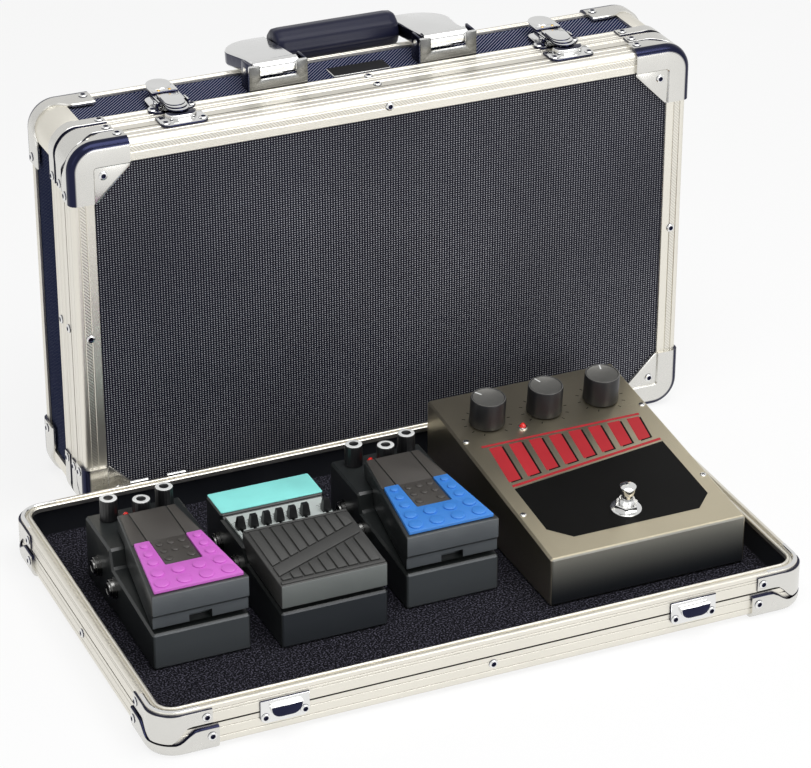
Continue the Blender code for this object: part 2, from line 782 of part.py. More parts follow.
def lever_mesh():
    """Lever about its own pivot: two cheeks, a top plate behind the hook and a round thumb pad."""
    half = LEVER_WIDTH / 2
    low = -LEVER_CHEEK_HEIGHT / 2
    high = LEVER_CHEEK_HEIGHT / 2
    cheek_end = LEVER_CHEEK_LENGTH - LEVER_CHEEK_HEIGHT / 2
    cheeks = bmesh.new()
    for side in (-1, 1):
        xs = sorted((side * half, side * (half - LEVER_CHEEK)))
        add_box(cheeks, (xs[0], -LEVER_CHEEK_HEIGHT / 2, low), (xs[1], cheek_end, high))
    lever = new_helper("lever_cheeks", mesh_from("lever_cheeks", cheeks))
    plate_low = high - OVERLAP
    plate_top = plate_low + LEVER_PLATE
    plate = box_mesh(
        "lever_plate", ((-half, LEVER_PLATE_START, plate_low), (half, LEVER_PLATE_END, plate_top))
    )
    boolean(lever, new_helper("lever_plate", plate), "UNION")
    pad = bmesh.new()
    pad_top = plate_top + OVERLAP
    end = (0.0, LEVER_PLATE_END)
    add_cylinder(pad, THUMB_PAD_RADIUS, plate_low + OVERLAP, pad_top, middle=end, sides=20)
    boolean(lever, new_helper("lever_pad", mesh_from("lever_pad", pad)), "UNION")
    return baked_mesh("latch_lever", lever)


def hook_mesh():
    """Hook about its pivot in the lever: an eye and a strap that runs forward over the split."""
    half = HOOK_WIDTH / 2
    strap_top = HOOK_RISE + HOOK_STRAP
    strap = new_helper(
        "hook_strap", box_mesh("hook_strap", ((-half, -HOOK_REACH, HOOK_RISE), (half, 0.0, strap_top)))
    )
    eye = bmesh.new()
    add_cylinder(eye, HOOK_EYE_RADIUS, -half + OVERLAP, half - OVERLAP, axis="X", sides=12)
    boolean(strap, new_helper("hook_eye", mesh_from("hook_eye", eye)), "UNION")
    return baked_mesh("latch_hook", strap)


def hinge_leaf_mesh(name, knuckles):
    """Leaf of a lift-off hinge with its share of the three knuckles, barrel axis on local X."""
    half = HINGE_LENGTH / 2
    leaf = new_helper(
        name + "_leaf",
        box_mesh(
            name + "_leaf",
            ((-half, -HINGE_LEAF_WIDTH, FIT_GAP), (half, -HINGE_NOTCH - FIT_GAP, FIT_GAP + HINGE_LEAF)),
        ),
    )
    step = HINGE_LENGTH / 3
    barrels = bmesh.new()
    arms = bmesh.new()
    for index in knuckles:
        low = -half + index * step + FIT_GAP
        high = low + step - 2 * FIT_GAP
        add_cylinder(barrels, HINGE_RADIUS, low, high, axis="X", sides=12)
        arm_low = -HINGE_NOTCH - FIT_GAP - OVERLAP
        add_box(arms, (low + OVERLAP, arm_low, FIT_GAP), (high - OVERLAP, 0.0, FIT_GAP + HINGE_LEAF))
    boolean(leaf, new_helper(name + "_arms", mesh_from(name + "_arms", arms)), "UNION")
    boolean(leaf, new_helper(name + "_barrels", mesh_from(name + "_barrels", barrels)), "UNION")
    return baked_mesh(name, leaf)


# Carrying handle, about its pins; local Y runs from the pins to the grip

def arm_outline():
    """Plan of the right arm: from the barrel on the pin out, round the corner and in to the grip."""
    root = HANDLE_BRACKET_X - ARM_ROOT_WIDTH / 2
    side = HANDLE_BRACKET_X + ARM_ROOT_WIDTH / 2
    outer = side + ARM_SWELL
    inner = GRIP_LENGTH / 2 + FIT_GAP
    points = [(root, 0.0), (side, 0.0), (side, HANDLE_BARREL_RADIUS * 2)]
    for step in range(ARM_CORNER_STEPS + 1):
        angle = step / ARM_CORNER_STEPS * math.pi / 2
        x = outer - ARM_CORNER + ARM_CORNER * math.cos(angle)
        points.append((x, HANDLE_FAR - ARM_CORNER + ARM_CORNER * math.sin(angle)))
    return points + [(inner, HANDLE_FAR), (inner, HANDLE_FAR - 2 * GRIP_RADIUS)]


def handle_bail_mesh():
    """Two flat arms with a barrel and a pin each, and the core rod that carries the grip."""
    half = ARM_THICKNESS / 2
    outline = arm_outline()
    bail = new_helper("handle_arm_right", plate_mesh("handle_arm_right", outline, -half, half))
    mirrored = [(-x, y) for x, y in reversed(outline)]
    other = new_helper("handle_arm_left", plate_mesh("handle_arm_left", mirrored, -half, half))
    boolean(bail, other, "UNION")
    core = bmesh.new()
    core_end = GRIP_LENGTH / 2 + GRIP_RADIUS
    add_cylinder(core, HANDLE_CORE_RADIUS, -core_end, core_end, axis="X", middle=(HANDLE_REACH, 0.0))
    boolean(bail, new_helper("handle_core", mesh_from("handle_core", core)), "UNION")
    barrels = bmesh.new()
    pins = bmesh.new()
    for side in (-1, 1):
        middle = side * HANDLE_BRACKET_X
        half_barrel = ARM_ROOT_WIDTH / 2 - OVERLAP
        half_pin = BRACKET_WIDTH / 2 + OVERLAP
        add_cylinder(barrels, HANDLE_BARREL_RADIUS, middle - half_barrel, middle + half_barrel, axis="X")
        add_cylinder(pins, HANDLE_PIN_RADIUS, middle - half_pin, middle + half_pin, axis="X", sides=12)
    boolean(bail, new_helper("handle_barrels", mesh_from("handle_barrels", barrels)), "UNION")
    boolean(bail, new_helper("handle_pins", mesh_from("handle_pins", pins)), "UNION")
    return smooth(baked_mesh("handle_bail", bail))


def grip_profile():
    """Tube of the grip, a little thinner at both ends, with a bore for the core rod."""
    bore = HANDLE_CORE_RADIUS + GRIP_PLAY
    half = GRIP_LENGTH / 2
    end_radius = GRIP_RADIUS * GRIP_END_SHARE
    end = half - GRIP_RADIUS / 2
    return [
        (bore, half),
        (end_radius, half),
        (GRIP_RADIUS, end),
        (GRIP_RADIUS, -end),
        (end_radius, -half),
        (bore, -half),
    ]


def handle_bracket_mesh():
    """Upright plate with a window in front of the pin, a foot under it and two bored cheeks."""
    half_x = BRACKET_WIDTH / 2
    front = -BRACKET_PIN_BACK
    back = front + BRACKET_LENGTH
    foot = -HANDLE_PIN_UP - BOARD_INSET + FIT_GAP
    solid = box_mesh("bracket_solid", ((-half_x, front, foot), (half_x, back, BRACKET_TOP)))
    bracket = new_helper("bracket_solid", solid)
    inner_x = half_x - BRACKET_SHEET
    foot_top = foot + BRACKET_SHEET
    room_top = BRACKET_TOP + OVERLAP
    room = box_mesh(
        "bracket_room",
        ((-inner_x, front + BRACKET_SHEET, foot_top), (inner_x, back + OVERLAP, room_top)),
    )
    boolean(bracket, new_helper("bracket_room", room), "DIFFERENCE")
    half_window = BRACKET_WINDOW_WIDTH / 2
    window = box_mesh(
        "bracket_window",
        (
            (-half_window, front - OVERLAP, -BRACKET_WINDOW_DROP),
            (half_window, front + 2 * BRACKET_SHEET, room_top),
        ),
    )
    boolean(bracket, new_helper("bracket_window", window), "DIFFERENCE")
    bore = bmesh.new()
    bore_half = half_x + OVERLAP
    add_cylinder(bore, HANDLE_PIN_RADIUS + FIT_GAP, -bore_half, bore_half, axis="X", sides=12)
    boolean(bracket, new_helper("bracket_bore", mesh_from("bracket_bore", bore)), "DIFFERENCE")
    return baked_mesh("handle_bracket", bracket)


# Pedals; local Y is 0 at the rear edge and falls towards the player, local Z is 0 under the pedal

def inset_outline(outline, wall):
    """The outline moved inwards by a wall, each corner where its two moved sides meet."""
    inner = []
    for index, here in enumerate(outline):
        corner = Vector(here)
        before = (corner - Vector(outline[index - 1])).normalized()
        after = (Vector(outline[(index + 1) % len(outline)]) - corner).normalized()
        inward = -(before.orthogonal() + after.orthogonal())
        inner.append(corner + inward * wall / (1 + before.dot(after)))
    return inner


def hollow(housing, outline, half_width, wall):
    """Opens a housing from below, leaving its walls and its top."""
    inner = []
    for corner, (_, height) in zip(inset_outline(outline, wall), outline):
        inner.append((corner.x, corner.y if height > 0 else -OVERLAP))
    cutter = new_helper(housing.name + "_hollow", prism_mesh("hollow", inner, half_width - wall))
    cutter.parent = housing.parent
    boolean(housing, cutter, "DIFFERENCE")


def hollow_treadle(treadle, outline, half_width, offset):
    """Opens a treadle from below; the second and the third point of its outline are its top."""
    inner = []
    for index, corner in enumerate(inset_outline(outline, HOUSING_WALL)):
        drop = 0.0 if index in (1, 2) else 2 * HOUSING_WALL
        inner.append((corner.x, corner.y - drop))
    mesh = prism_mesh("treadle_hollow", inner, COMPACT_WIDTH / 2, lambda y: half_width(y) - HOUSING_WALL)
    mesh.transform(offset)
    cutter = new_helper(treadle.name + "_hollow", mesh)
    cutter.parent = treadle
    boolean(treadle, cutter, "DIFFERENCE")


def bottom_plate(name, width, length, wall, parent):
    """Steel plate that closes a housing, set between its walls."""
    gap = wall + FIT_GAP
    mesh = box_mesh(
        name, ((-width / 2 + gap, gap - length, 0.0), (width / 2 - gap, -gap, BOTTOM_PLATE))
    )
    return new_part(name, mesh, MATERIALS["steel"], parent)


def knob_profile(radius, height):
    return [
        (0.0, height),
        (radius * KNOB_FACE_SHARE, height),
        (radius * KNOB_SHOULDER_SHARE, height * KNOB_SHOULDER_HEIGHT_SHARE),
        (radius * KNOB_WAIST_SHARE, height * KNOB_WAIST_HEIGHT_SHARE),
        (radius, height * KNOB_SKIRT_HEIGHT_SHARE),
        (radius, 0.0),
        (0.0, 0.0),
    ]


def add_knob(name, radius, height, parent, place):
    mesh = profile_mesh(name, knob_profile(radius, height))
    return turned(new_part(name, mesh, MATERIALS["black_plastic"], parent, place))


def compact_outline():
    """Side of a compact housing: low base in front, deck for the knobs behind."""
    ramp_top = -COMPACT_DECK_LENGTH
    ramp_foot = ramp_top - COMPACT_DECK_RUN
    return [
        (0.0, 0.0),
        (-COMPACT_LENGTH, 0.0),
        (-COMPACT_LENGTH, PEDAL_BASE_HEIGHT),
        (ramp_foot, PEDAL_BASE_HEIGHT + COMPACT_BASE_RISE),
        (ramp_top, COMPACT_DECK_HEIGHT),
        (0.0, COMPACT_DECK_HEIGHT),
    ]


def compact_half_width(y):
    """Half the width of the treadle, which narrows towards the rear."""
    along = (y + COMPACT_LENGTH) / (COMPACT_LENGTH - COMPACT_TREADLE_REAR)
    front = COMPACT_WIDTH / 2
    return front + (COMPACT_TREADLE_REAR_WIDTH / 2 - front) * along


def compact_treadle_slope():
    return COMPACT_TREADLE_RISE / (COMPACT_LENGTH - COMPACT_TREADLE_REAR)


def compact_treadle_top(y):
    return COMPACT_TREADLE_HEIGHT + (y + COMPACT_LENGTH) * compact_treadle_slope()


def compact_treadle_outline():
    """Side of a compact treadle: a wedge over the base whose tail lies on the deck."""
    deck_edge = -COMPACT_DECK_LENGTH - COMPACT_DECK_RUN / 2
    ramp_foot = deck_edge - COMPACT_DECK_RUN
    return [
        (-COMPACT_LENGTH, PEDAL_BASE_HEIGHT + TREADLE_GAP),
        (-COMPACT_LENGTH, COMPACT_TREADLE_HEIGHT),
        (-COMPACT_TREADLE_REAR, compact_treadle_top(-COMPACT_TREADLE_REAR)),
        (-COMPACT_TREADLE_REAR, COMPACT_DECK_HEIGHT + TREADLE_GAP / 2),
        (deck_edge, COMPACT_DECK_HEIGHT + TREADLE_GAP / 2),
        (ramp_foot, PEDAL_BASE_HEIGHT + COMPACT_BASE_RISE + TREADLE_GAP),
    ]


def add_treadle(name, outline, half_width, material, pedal, pivot):
    """A hollow treadle about its pivot."""
    offset = Matrix.Translation(-Vector(pivot))
    mesh = prism_mesh(name, outline, COMPACT_WIDTH / 2, half_width)
    mesh.transform(offset)
    treadle = bevelled(new_part(name, mesh, material, pedal, pivot), HOUSING_BEVEL)
    hollow_treadle(treadle, outline, half_width, offset)


def pad_studs():
    """Places (x, y) and radii of the studs on one pad, larger towards the player."""
    front = PAD_MARGIN - COMPACT_LENGTH
    notch = front + PAD_LENGTH - PAD_NOTCH_LENGTH
    rows = ((FRONT_STUD_RADIUS, FRONT_STUD_COUNT), (SECOND_STUD_RADIUS, SECOND_STUD_COUNT))
    studs = []
    for row, (radius, count) in enumerate(rows):
        y = front + STUD_FROM_EDGE + row * STUD_ROW_PITCH
        span = compact_half_width(y) - PAD_MARGIN - STUD_FROM_EDGE
        for index in range(count):
            studs.append((span * (2 * index / (count - 1) - 1), y, radius))
    for index in range(LEG_STUD_COUNT):
        y = notch + LEG_STUD_RADIUS + index * LEG_STUD_PITCH
        leg_middle = (PAD_NOTCH_WIDTH / 2 + compact_half_width(y) - PAD_MARGIN) / 2
        radius = LEG_STUD_RADIUS - index * LEG_STUD_SHRINK
        studs.extend((side * leg_middle, y, radius) for side in (-1, 1))
    return studs


def pad_mesh(name):
    """U-shaped rubber pad with round studs, lying along the slope of the treadle."""
    front = PAD_MARGIN - COMPACT_LENGTH
    rear = front + PAD_LENGTH
    notch = rear - PAD_NOTCH_LENGTH
    wide_front = compact_half_width(front) - PAD_MARGIN
    wide_rear = compact_half_width(rear) - PAD_MARGIN
    inner = PAD_NOTCH_WIDTH / 2
    outline = [
        (-wide_front, front),
        (wide_front, front),
        (wide_rear, rear),
        (inner, rear),
        (inner, notch),
        (-inner, notch),
        (-inner, rear),
        (-wide_rear, rear),
    ]
    pad = new_helper(name + "_sheet", plate_mesh(name + "_sheet", outline, 0.0, PAD_THICKNESS))
    studs = bmesh.new()
    for x, y, radius in pad_studs():
        top = PAD_THICKNESS + STUD_HEIGHT
        add_cylinder(studs, radius, PAD_THICKNESS / 2, top, middle=(x, y), sides=STUD_SIDES)
    boolean(pad, new_helper(name + "_studs", mesh_from(name + "_studs", studs)), "UNION")
    mesh = baked_mesh(name, pad)
    lift = compact_treadle_top(0.0) + FIT_GAP - COMPACT_PIVOT_UP
    mesh.transform(Matrix.Rotation(math.atan(compact_treadle_slope()), 4, "X"))
    mesh.transform(Matrix.Translation((0.0, COMPACT_PIVOT_BACK, lift)))
    return mesh


def compact_pedal(name, place, pad_colour):
    """A compact pedal: housing, bottom plate, treadle with its pad, and three knobs."""
    pedal = new_empty(name, place)
    outline = compact_outline()
    half = COMPACT_WIDTH / 2
    housing = new_part(name + "_housing", prism_mesh(name, outline, half), MATERIALS["black_paint"], pedal)
    bevelled(housing, HOUSING_BEVEL)
    hollow(housing, outline, half, HOUSING_WALL)
    bottom_plate(name + "_bottom_plate", COMPACT_WIDTH, COMPACT_LENGTH, HOUSING_WALL, pedal)
    pivot = (0.0, -COMPACT_PIVOT_BACK, COMPACT_PIVOT_UP)
    treadle = compact_treadle_outline()
    add_treadle(name + "_treadle", treadle, compact_half_width, MATERIALS["black_paint"], pedal, pivot)
    new_part(name + "_pad", pad_mesh(name + "_pad"), pad_colour, pedal, pivot)
    for index, label in enumerate(("left", "middle", "right")):
        spread = (index - 1) * COMPACT_KNOB_SPREAD
        back = COMPACT_MIDDLE_KNOB_BACK if label == "middle" else COMPACT_KNOB_BACK
        spot = (spread, -back, COMPACT_DECK_HEIGHT + FIT_GAP)
        add_knob(f"{name}_knob_{label}", COMPACT_KNOB_RADIUS, COMPACT_KNOB_HEIGHT, pedal, spot)


def eq_panel_top():
    return EQ_DECK_HEIGHT - EQ_PANEL_DROP


def eq_outline():
    """Side of the equalizer housing: base, low seat for the slider panel, deck behind."""
    seat = eq_panel_top() - EQ_PANEL_THICKNESS - FIT_GAP
    seat_front = -EQ_DECK_LENGTH - EQ_PANEL_LENGTH
    return [
        (0.0, 0.0),
        (-EQ_LENGTH, 0.0),
        (-EQ_LENGTH, PEDAL_BASE_HEIGHT),
        (seat_front - 2 * TREADLE_GAP, PEDAL_BASE_HEIGHT + EQ_BASE_RISE),
        (seat_front, seat),
        (-EQ_DECK_LENGTH, seat),
        (-EQ_DECK_LENGTH, EQ_DECK_HEIGHT),
        (0.0, EQ_DECK_HEIGHT),
    ]


def slider_places():
    """X of each slider: the bands at one pitch, then the level slider set apart."""
    bands = [index * SLIDER_PITCH for index in range(SLIDER_COUNT)]
    places = bands + [bands[-1] + LEVEL_SLIDER_PITCH]
    middle = places[-1] / 2
    return [x - middle for x in places]


def eq_panel_middle():
    return -EQ_DECK_LENGTH - EQ_PANEL_LENGTH / 2


def eq_slots(name, play, low, high):
    """Boxes over the travel of every slider stem, a little wider than the stems."""
    half_x = SLIDER_STEM_WIDTH / 2 + play
    half_y = SLIDER_STEM_LENGTH / 2 + SLIDER_TRAVEL + play
    middle = eq_panel_middle()
    boxes = [
        ((x - half_x, middle - half_y, low), (x + half_x, middle + half_y, high)) for x in slider_places()
    ]
    return new_helper(name, box_mesh(name, *boxes))


def eq_control_panel(parent):
    """Slotted plate that the sliders stand out of."""
    half = EQ_WIDTH / 2 - EQ_PANEL_MARGIN
    rear = -EQ_DECK_LENGTH - HOUSING_BEVEL - FIT_GAP
    front = -EQ_DECK_LENGTH - EQ_PANEL_LENGTH + FIT_GAP
    top = eq_panel_top()
    bottom = top - EQ_PANEL_THICKNESS
    mesh = box_mesh("eq_control_panel", ((-half, front, bottom), (half, rear, top)))
    panel = new_part("eq_control_panel", mesh, MATERIALS["brushed_steel"], parent)
    slots = eq_slots("eq_slots", SLOT_PLAY, bottom - OVERLAP, top + OVERLAP)
    slots.parent = parent
    boolean(panel, slots, "DIFFERENCE")


def slider_mesh(name):
    """Slider about the middle of its stem at the panel's top face."""
    cap = (SLIDER_CAP_WIDTH / 2, SLIDER_CAP_LENGTH / 2)
    tip = (SLIDER_CAP_WIDTH * SLIDER_TIP_WIDTH_SHARE, SLIDER_CAP_LENGTH * SLIDER_TIP_LENGTH_SHARE)
    stem = (SLIDER_STEM_WIDTH / 2, SLIDER_STEM_LENGTH / 2)
    shape = bmesh.new()
    levels = (
        (stem, -SLIDER_STEM_DEPTH),
        (stem, FIT_GAP),
        (cap, FIT_GAP),
        (cap, SLIDER_CAP_HEIGHT * SLIDER_FOOT_SHARE),
        (tip, SLIDER_CAP_HEIGHT),
    )
    loops = []
    for (half_x, half_y), height in levels:
        corners = [(-half_x, -half_y), (half_x, -half_y), (half_x, half_y), (-half_x, half_y)]
        loops.append([shape.verts.new((x, y, height)) for x, y in corners])
    return lofted_solid(name, shape, loops)


def eq_treadle_outline():
    """Side of the equalizer's treadle, which starts at the slider panel."""
    rear = -EQ_DECK_LENGTH - EQ_PANEL_LENGTH - FIT_GAP
    seat_front = rear - 2 * TREADLE_GAP
    return [
        (-EQ_LENGTH, PEDAL_BASE_HEIGHT + TREADLE_GAP),
        (-EQ_LENGTH, EQ_TREADLE_HEIGHT),
        (rear, EQ_TREADLE_HEIGHT + EQ_TREADLE_RISE),
        (rear, eq_panel_top() + TREADLE_GAP),
        (seat_front - TREADLE_GAP, PEDAL_BASE_HEIGHT + EQ_BASE_RISE + TREADLE_GAP),
    ]


def eq_pedal(place):
    """The equalizer: housing, bottom plate, treadle, slotted panel and its sliders."""
    pedal = new_empty("eq_pedal", place)
    outline = eq_outline()
    half = EQ_WIDTH / 2
    solid = prism_mesh("eq_housing", outline, half)
    housing = new_part("eq_housing", solid, MATERIALS["black_paint"], pedal)
    bevelled(housing, HOUSING_BEVEL)
    hollow(housing, outline, half, HOUSING_WALL)
    seat = eq_panel_top() - EQ_PANEL_THICKNESS
    pocket = eq_slots("eq_stem_room", 2 * SLOT_PLAY, seat - EQ_POCKET_DEPTH, seat + OVERLAP)
    pocket.parent = pedal
    boolean(housing, pocket, "DIFFERENCE")
    bottom_plate("eq_bottom_plate", EQ_WIDTH, EQ_LENGTH, HOUSING_WALL, pedal)
    pivot = (0.0, -EQ_PIVOT_BACK, EQ_PIVOT_UP)
    treadle = eq_treadle_outline()
    add_treadle("eq_treadle", treadle, lambda y: EQ_WIDTH / 2, MATERIALS["grey_rubber"], pedal, pivot)
    eq_control_panel(pedal)
    mesh = slider_mesh("eq_slider")
    for index, x in enumerate(slider_places()):
        label = f"eq_slider_{index + 1}" if index < SLIDER_COUNT else "eq_slider_level"
        spot = (x, eq_panel_middle(), eq_panel_top())
        new_part(label, mesh, MATERIALS["black_plastic"], pedal, spot)


def switch_bush_profile():
    """Washer, nut and threaded neck of the footswitch, bored for the plunger."""
    bore = PLUNGER_RADIUS + PLUNGER_BORE_PLAY
    nut_top = SWITCH_WASHER + SWITCH_NUT_HEIGHT
    return [
        (bore, SWITCH_BUSH_HEIGHT),
        (SWITCH_BUSH_RADIUS, SWITCH_BUSH_HEIGHT),
        (SWITCH_BUSH_RADIUS, nut_top),
        (SWITCH_NUT_RADIUS, nut_top),
        (SWITCH_NUT_RADIUS, SWITCH_WASHER),
        (SWITCH_WASHER_RADIUS, SWITCH_WASHER),
        (SWITCH_WASHER_RADIUS, 0.0),
        (bore, 0.0),
    ]


def plunger_profile():
    """Push button of the footswitch: a stem in the bush and a domed cap that clears it by its travel."""
    cap_low = SWITCH_BUSH_HEIGHT + PLUNGER_TRAVEL + FIT_GAP
    cap_top = cap_low + PLUNGER_CAP_HEIGHT
    stem_low = PLUNGER_TRAVEL + 2 * FIT_GAP
    return [
        (0.0, cap_top),
        (PLUNGER_CAP_RADIUS * PLUNGER_DOME_SHARE, cap_top - PLUNGER_CAP_HEIGHT * PLUNGER_DOME_DROP_SHARE),
        (PLUNGER_CAP_RADIUS, cap_top - PLUNGER_CAP_HEIGHT * PLUNGER_EDGE_DROP_SHARE),
        (PLUNGER_CAP_RADIUS, cap_low + PLUNGER_CAP_HEIGHT * PLUNGER_FOOT_SHARE),
        (PLUNGER_RADIUS, cap_low),
        (PLUNGER_RADIUS, stem_low),
        (0.0, stem_low),
    ]


def fuzz_pedal(place):
    """The large wedge: folded steel housing, bottom plate, three knobs and a footswitch."""
    pedal = new_empty("fuzz_pedal", place)
    outline = [
        (0.0, 0.0),
        (-FUZZ_LENGTH, 0.0),
        (-FUZZ_LENGTH, FUZZ_FRONT_HEIGHT),
        (0.0, FUZZ_REAR_HEIGHT),
    ]
    half = FUZZ_WIDTH / 2
    housing = new_part("fuzz_housing", prism_mesh("fuzz", outline, half), MATERIALS["brushed_steel"], pedal)
    bevelled(housing, FUZZ_WALL)
    hollow(housing, outline, half, FUZZ_WALL)
    bottom_plate("fuzz_bottom_plate", FUZZ_WIDTH, FUZZ_LENGTH, FUZZ_WALL, pedal)
    deck = new_empty("fuzz_deck", (0.0, 0.0, FUZZ_REAR_HEIGHT), (FUZZ_SLOPE, 0.0, 0.0), pedal)
    for index, label in enumerate(("left", "middle", "right")):
        spot = ((index - 1) * FUZZ_KNOB_SPREAD, -FUZZ_KNOB_BACK, FIT_GAP)
        add_knob(f"fuzz_knob_{label}", FUZZ_KNOB_RADIUS, FUZZ_KNOB_HEIGHT, deck, spot)
    switch = (0.0, SWITCH_FROM_FRONT - FUZZ_LENGTH / math.cos(FUZZ_SLOPE), FIT_GAP)
    bush_mesh = profile_mesh("fuzz_switch_bush", switch_bush_profile(), closed=True)
    turned(new_part("fuzz_switch_bush", bush_mesh, MATERIALS["chrome"], deck, switch))
    plunger_mesh = profile_mesh("fuzz_switch_plunger", plunger_profile())
    turned(new_part("fuzz_switch_plunger", plunger_mesh, MATERIALS["chrome"], deck, switch))


# Assemblies

def tray():
    """The open tray: edge, panel, lining, keepers in front and hinge leaves behind."""
    half = new_empty("tray", (TRAY_X, TRAY_FRONT_Y + PLAN_LENGTH / 2, CAP_THICKNESS))
    new_part("tray_frame", SHARED["edge"], MATERIALS["aluminium"], half)
    new_part("tray_panel", SHARED["panel"], MATERIALS["black_cover"], half)
    new_part("tray_lining", lining_mesh(), MATERIALS["black_fleece"], half)
    for label, side in (("left", -1), ("right", 1)):
        spot = (TRAY_X + side * LATCH_X, TRAY_FRONT_Y, TRAY_RIM_Z)
        turn = (math.pi / 2, 0.0, 0.0)
        new_part(f"tray_keeper_{label}", SHARED["keeper"], MATERIALS["chrome"], None, spot, turn)
        spot = (TRAY_X + side * HINGE_X, TRAY_REAR_Y, TRAY_RIM_Z)
        turn = (math.pi / 2, 0.0, math.pi)
        new_part(f"tray_hinge_{label}", SHARED["outer_leaf"], MATERIALS["aluminium"], None, spot, turn)


def cover():
    """The cover of the closed case, the same part as the tray, standing with its panel to the front."""
    half = new_empty("cover", (CASE_X, COVER_FACE_Y, CASE_MIDDLE_Z), (-math.pi / 2, 0.0, 0.0))
    new_part("cover_frame", SHARED["edge"], MATERIALS["aluminium"], half)
    new_part("cover_panel", SHARED["panel"], MATERIALS["black_cover"], half)
    for label, side in (("left", -1), ("right", 1)):
        spot = (CASE_X + side * LATCH_X, SPLIT_Y, CASE_TOP_Z)
        new_part(f"cover_keeper_{label}", SHARED["keeper"], MATERIALS["chrome"], None, spot)
        spot = (CASE_X + side * HINGE_X, SPLIT_Y + FIT_GAP / 2, CAP_THICKNESS)
        turn = (0.0, math.pi, 0.0)
        new_part(f"cover_hinge_{label}", SHARED["outer_leaf"], MATERIALS["aluminium"], None, spot, turn)


def shell():
    """The deep half of the case, with its latches, handle and hinge leaves."""
    half = new_empty("shell", (CASE_X, SHELL_BACK_Y, CASE_MIDDLE_Z), (math.pi / 2, 0.0, 0.0))
    new_part("shell_box", shell_box_mesh(), MATERIALS["black_cover"], half)
    new_part("shell_rim_frame", shell_rim_mesh(), MATERIALS["aluminium"], half)
    new_part("shell_back_frame", shell_back_mesh(), MATERIALS["aluminium"], half)
    base = latch_base_mesh()
    lever = lever_mesh()
    hook = hook_mesh()
    leaf = hinge_leaf_mesh("inner_leaf", (1,))
    for label, side in (("left", -1), ("right", 1)):
        x = CASE_X + side * LATCH_X
        split = SPLIT_Y + FIT_GAP
        new_part(f"latch_base_{label}", base, MATERIALS["chrome"], None, (x, split, CASE_TOP_Z))
        pivot = (x, split + LATCH_PIVOT_BACK, CASE_TOP_Z + LATCH_PIVOT_UP)
        new_part(f"latch_lever_{label}", lever, MATERIALS["chrome"], None, pivot)
        eye = (x, pivot[1] + HOOK_PIVOT_BACK, pivot[2])
        new_part(f"latch_hook_{label}", hook, MATERIALS["chrome"], None, eye)
        spot = (CASE_X + side * HINGE_X, SPLIT_Y + FIT_GAP / 2, CAP_THICKNESS)
        turn = (math.pi, 0.0, 0.0)
        new_part(f"shell_hinge_{label}", leaf, MATERIALS["aluminium"], None, spot, turn)


def handle():
    """Two brackets on the top of the shell, and the bail with its grip that turns in them."""
    bracket = handle_bracket_mesh()
    pins = new_empty("handle", (CASE_X, HANDLE_PIN_Y, CASE_TOP_Z + HANDLE_PIN_UP))
    for label, side in (("left", -1), ("right", 1)):
        spot = (side * HANDLE_BRACKET_X, 0.0, 0.0)
        new_part(f"handle_bracket_{label}", bracket, MATERIALS["chrome"], pins, spot)
    folded = new_empty("handle_folded", (0.0, 0.0, 0.0), (-HANDLE_DROP, 0.0, 0.0), pins)
    new_part("handle_bail", handle_bail_mesh(), MATERIALS["chrome"], folded)
    grip = profile_mesh("handle_grip", grip_profile(), closed=True)
    spot = (0.0, HANDLE_REACH, 0.0)
    turn = (0.0, math.pi / 2, 0.0)
    turned(new_part("handle_grip", grip, MATERIALS["black_plastic"], folded, spot, turn))


def pedals():
    """The four pedals in a row on the lining."""
    def spot(x, rear):
        return (TRAY_X + x, TRAY_REAR_Y - rear, PEDAL_FLOOR)

    compact_pedal("chorus", spot(CHORUS_X, CHORUS_REAR), MATERIALS["magenta_rubber"])
    eq_pedal(spot(EQ_X, EQ_REAR))
    compact_pedal("drive", spot(DRIVE_X, DRIVE_REAR), MATERIALS["blue_rubber"])
    fuzz_pedal(spot(FUZZ_X, FUZZ_REAR))


clear_scene()
PARTS = new_collection("pedalboard")
CUTTERS = new_collection("cutters")
MATERIALS = {
    "aluminium": new_material("aluminium", (0.78, 0.77, 0.73), 0.35, 1.0),
    "chrome": new_material("chrome", (0.80, 0.80, 0.80), 0.12, 1.0),
    "steel": new_material("steel", (0.55, 0.55, 0.55), 0.40, 1.0),
    "brushed_steel": new_material("brushed_steel", (0.62, 0.59, 0.52), 0.38, 1.0),
    "black_cover": new_material("black_cover", (0.020, 0.022, 0.032), 0.70),
    "black_fleece": new_material("black_fleece", (0.012, 0.012, 0.020), 0.95),
    "black_paint": new_material("black_paint", (0.022, 0.024, 0.026), 0.45),
    "black_plastic": new_material("black_plastic", (0.015, 0.015, 0.016), 0.35),
    "grey_rubber": new_material("grey_rubber", (0.045, 0.045, 0.045), 0.75),
    "magenta_rubber": new_material("magenta_rubber", (0.62, 0.16, 0.58), 0.55),
    "blue_rubber": new_material("blue_rubber", (0.03, 0.17, 0.55), 0.55),
}
SHARED = {
    "edge": tray_edge_mesh(),
    "panel": panel_mesh(),
    "keeper": keeper_mesh(),
    "outer_leaf": hinge_leaf_mesh("outer_leaf", (0, 2)),
}
tray()
cover()
shell()
handle()
pedals()
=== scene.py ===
"""Looks of a pedalboard: an open tray that carries four effect pedals, with its closed carrying case behind.

Laid out as an add-on and run as a script. Metres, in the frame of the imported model.
"""

import math

import bmesh
import bpy
from bpy.props import FloatProperty, FloatVectorProperty, PointerProperty
from mathutils import Matrix, Vector, noise


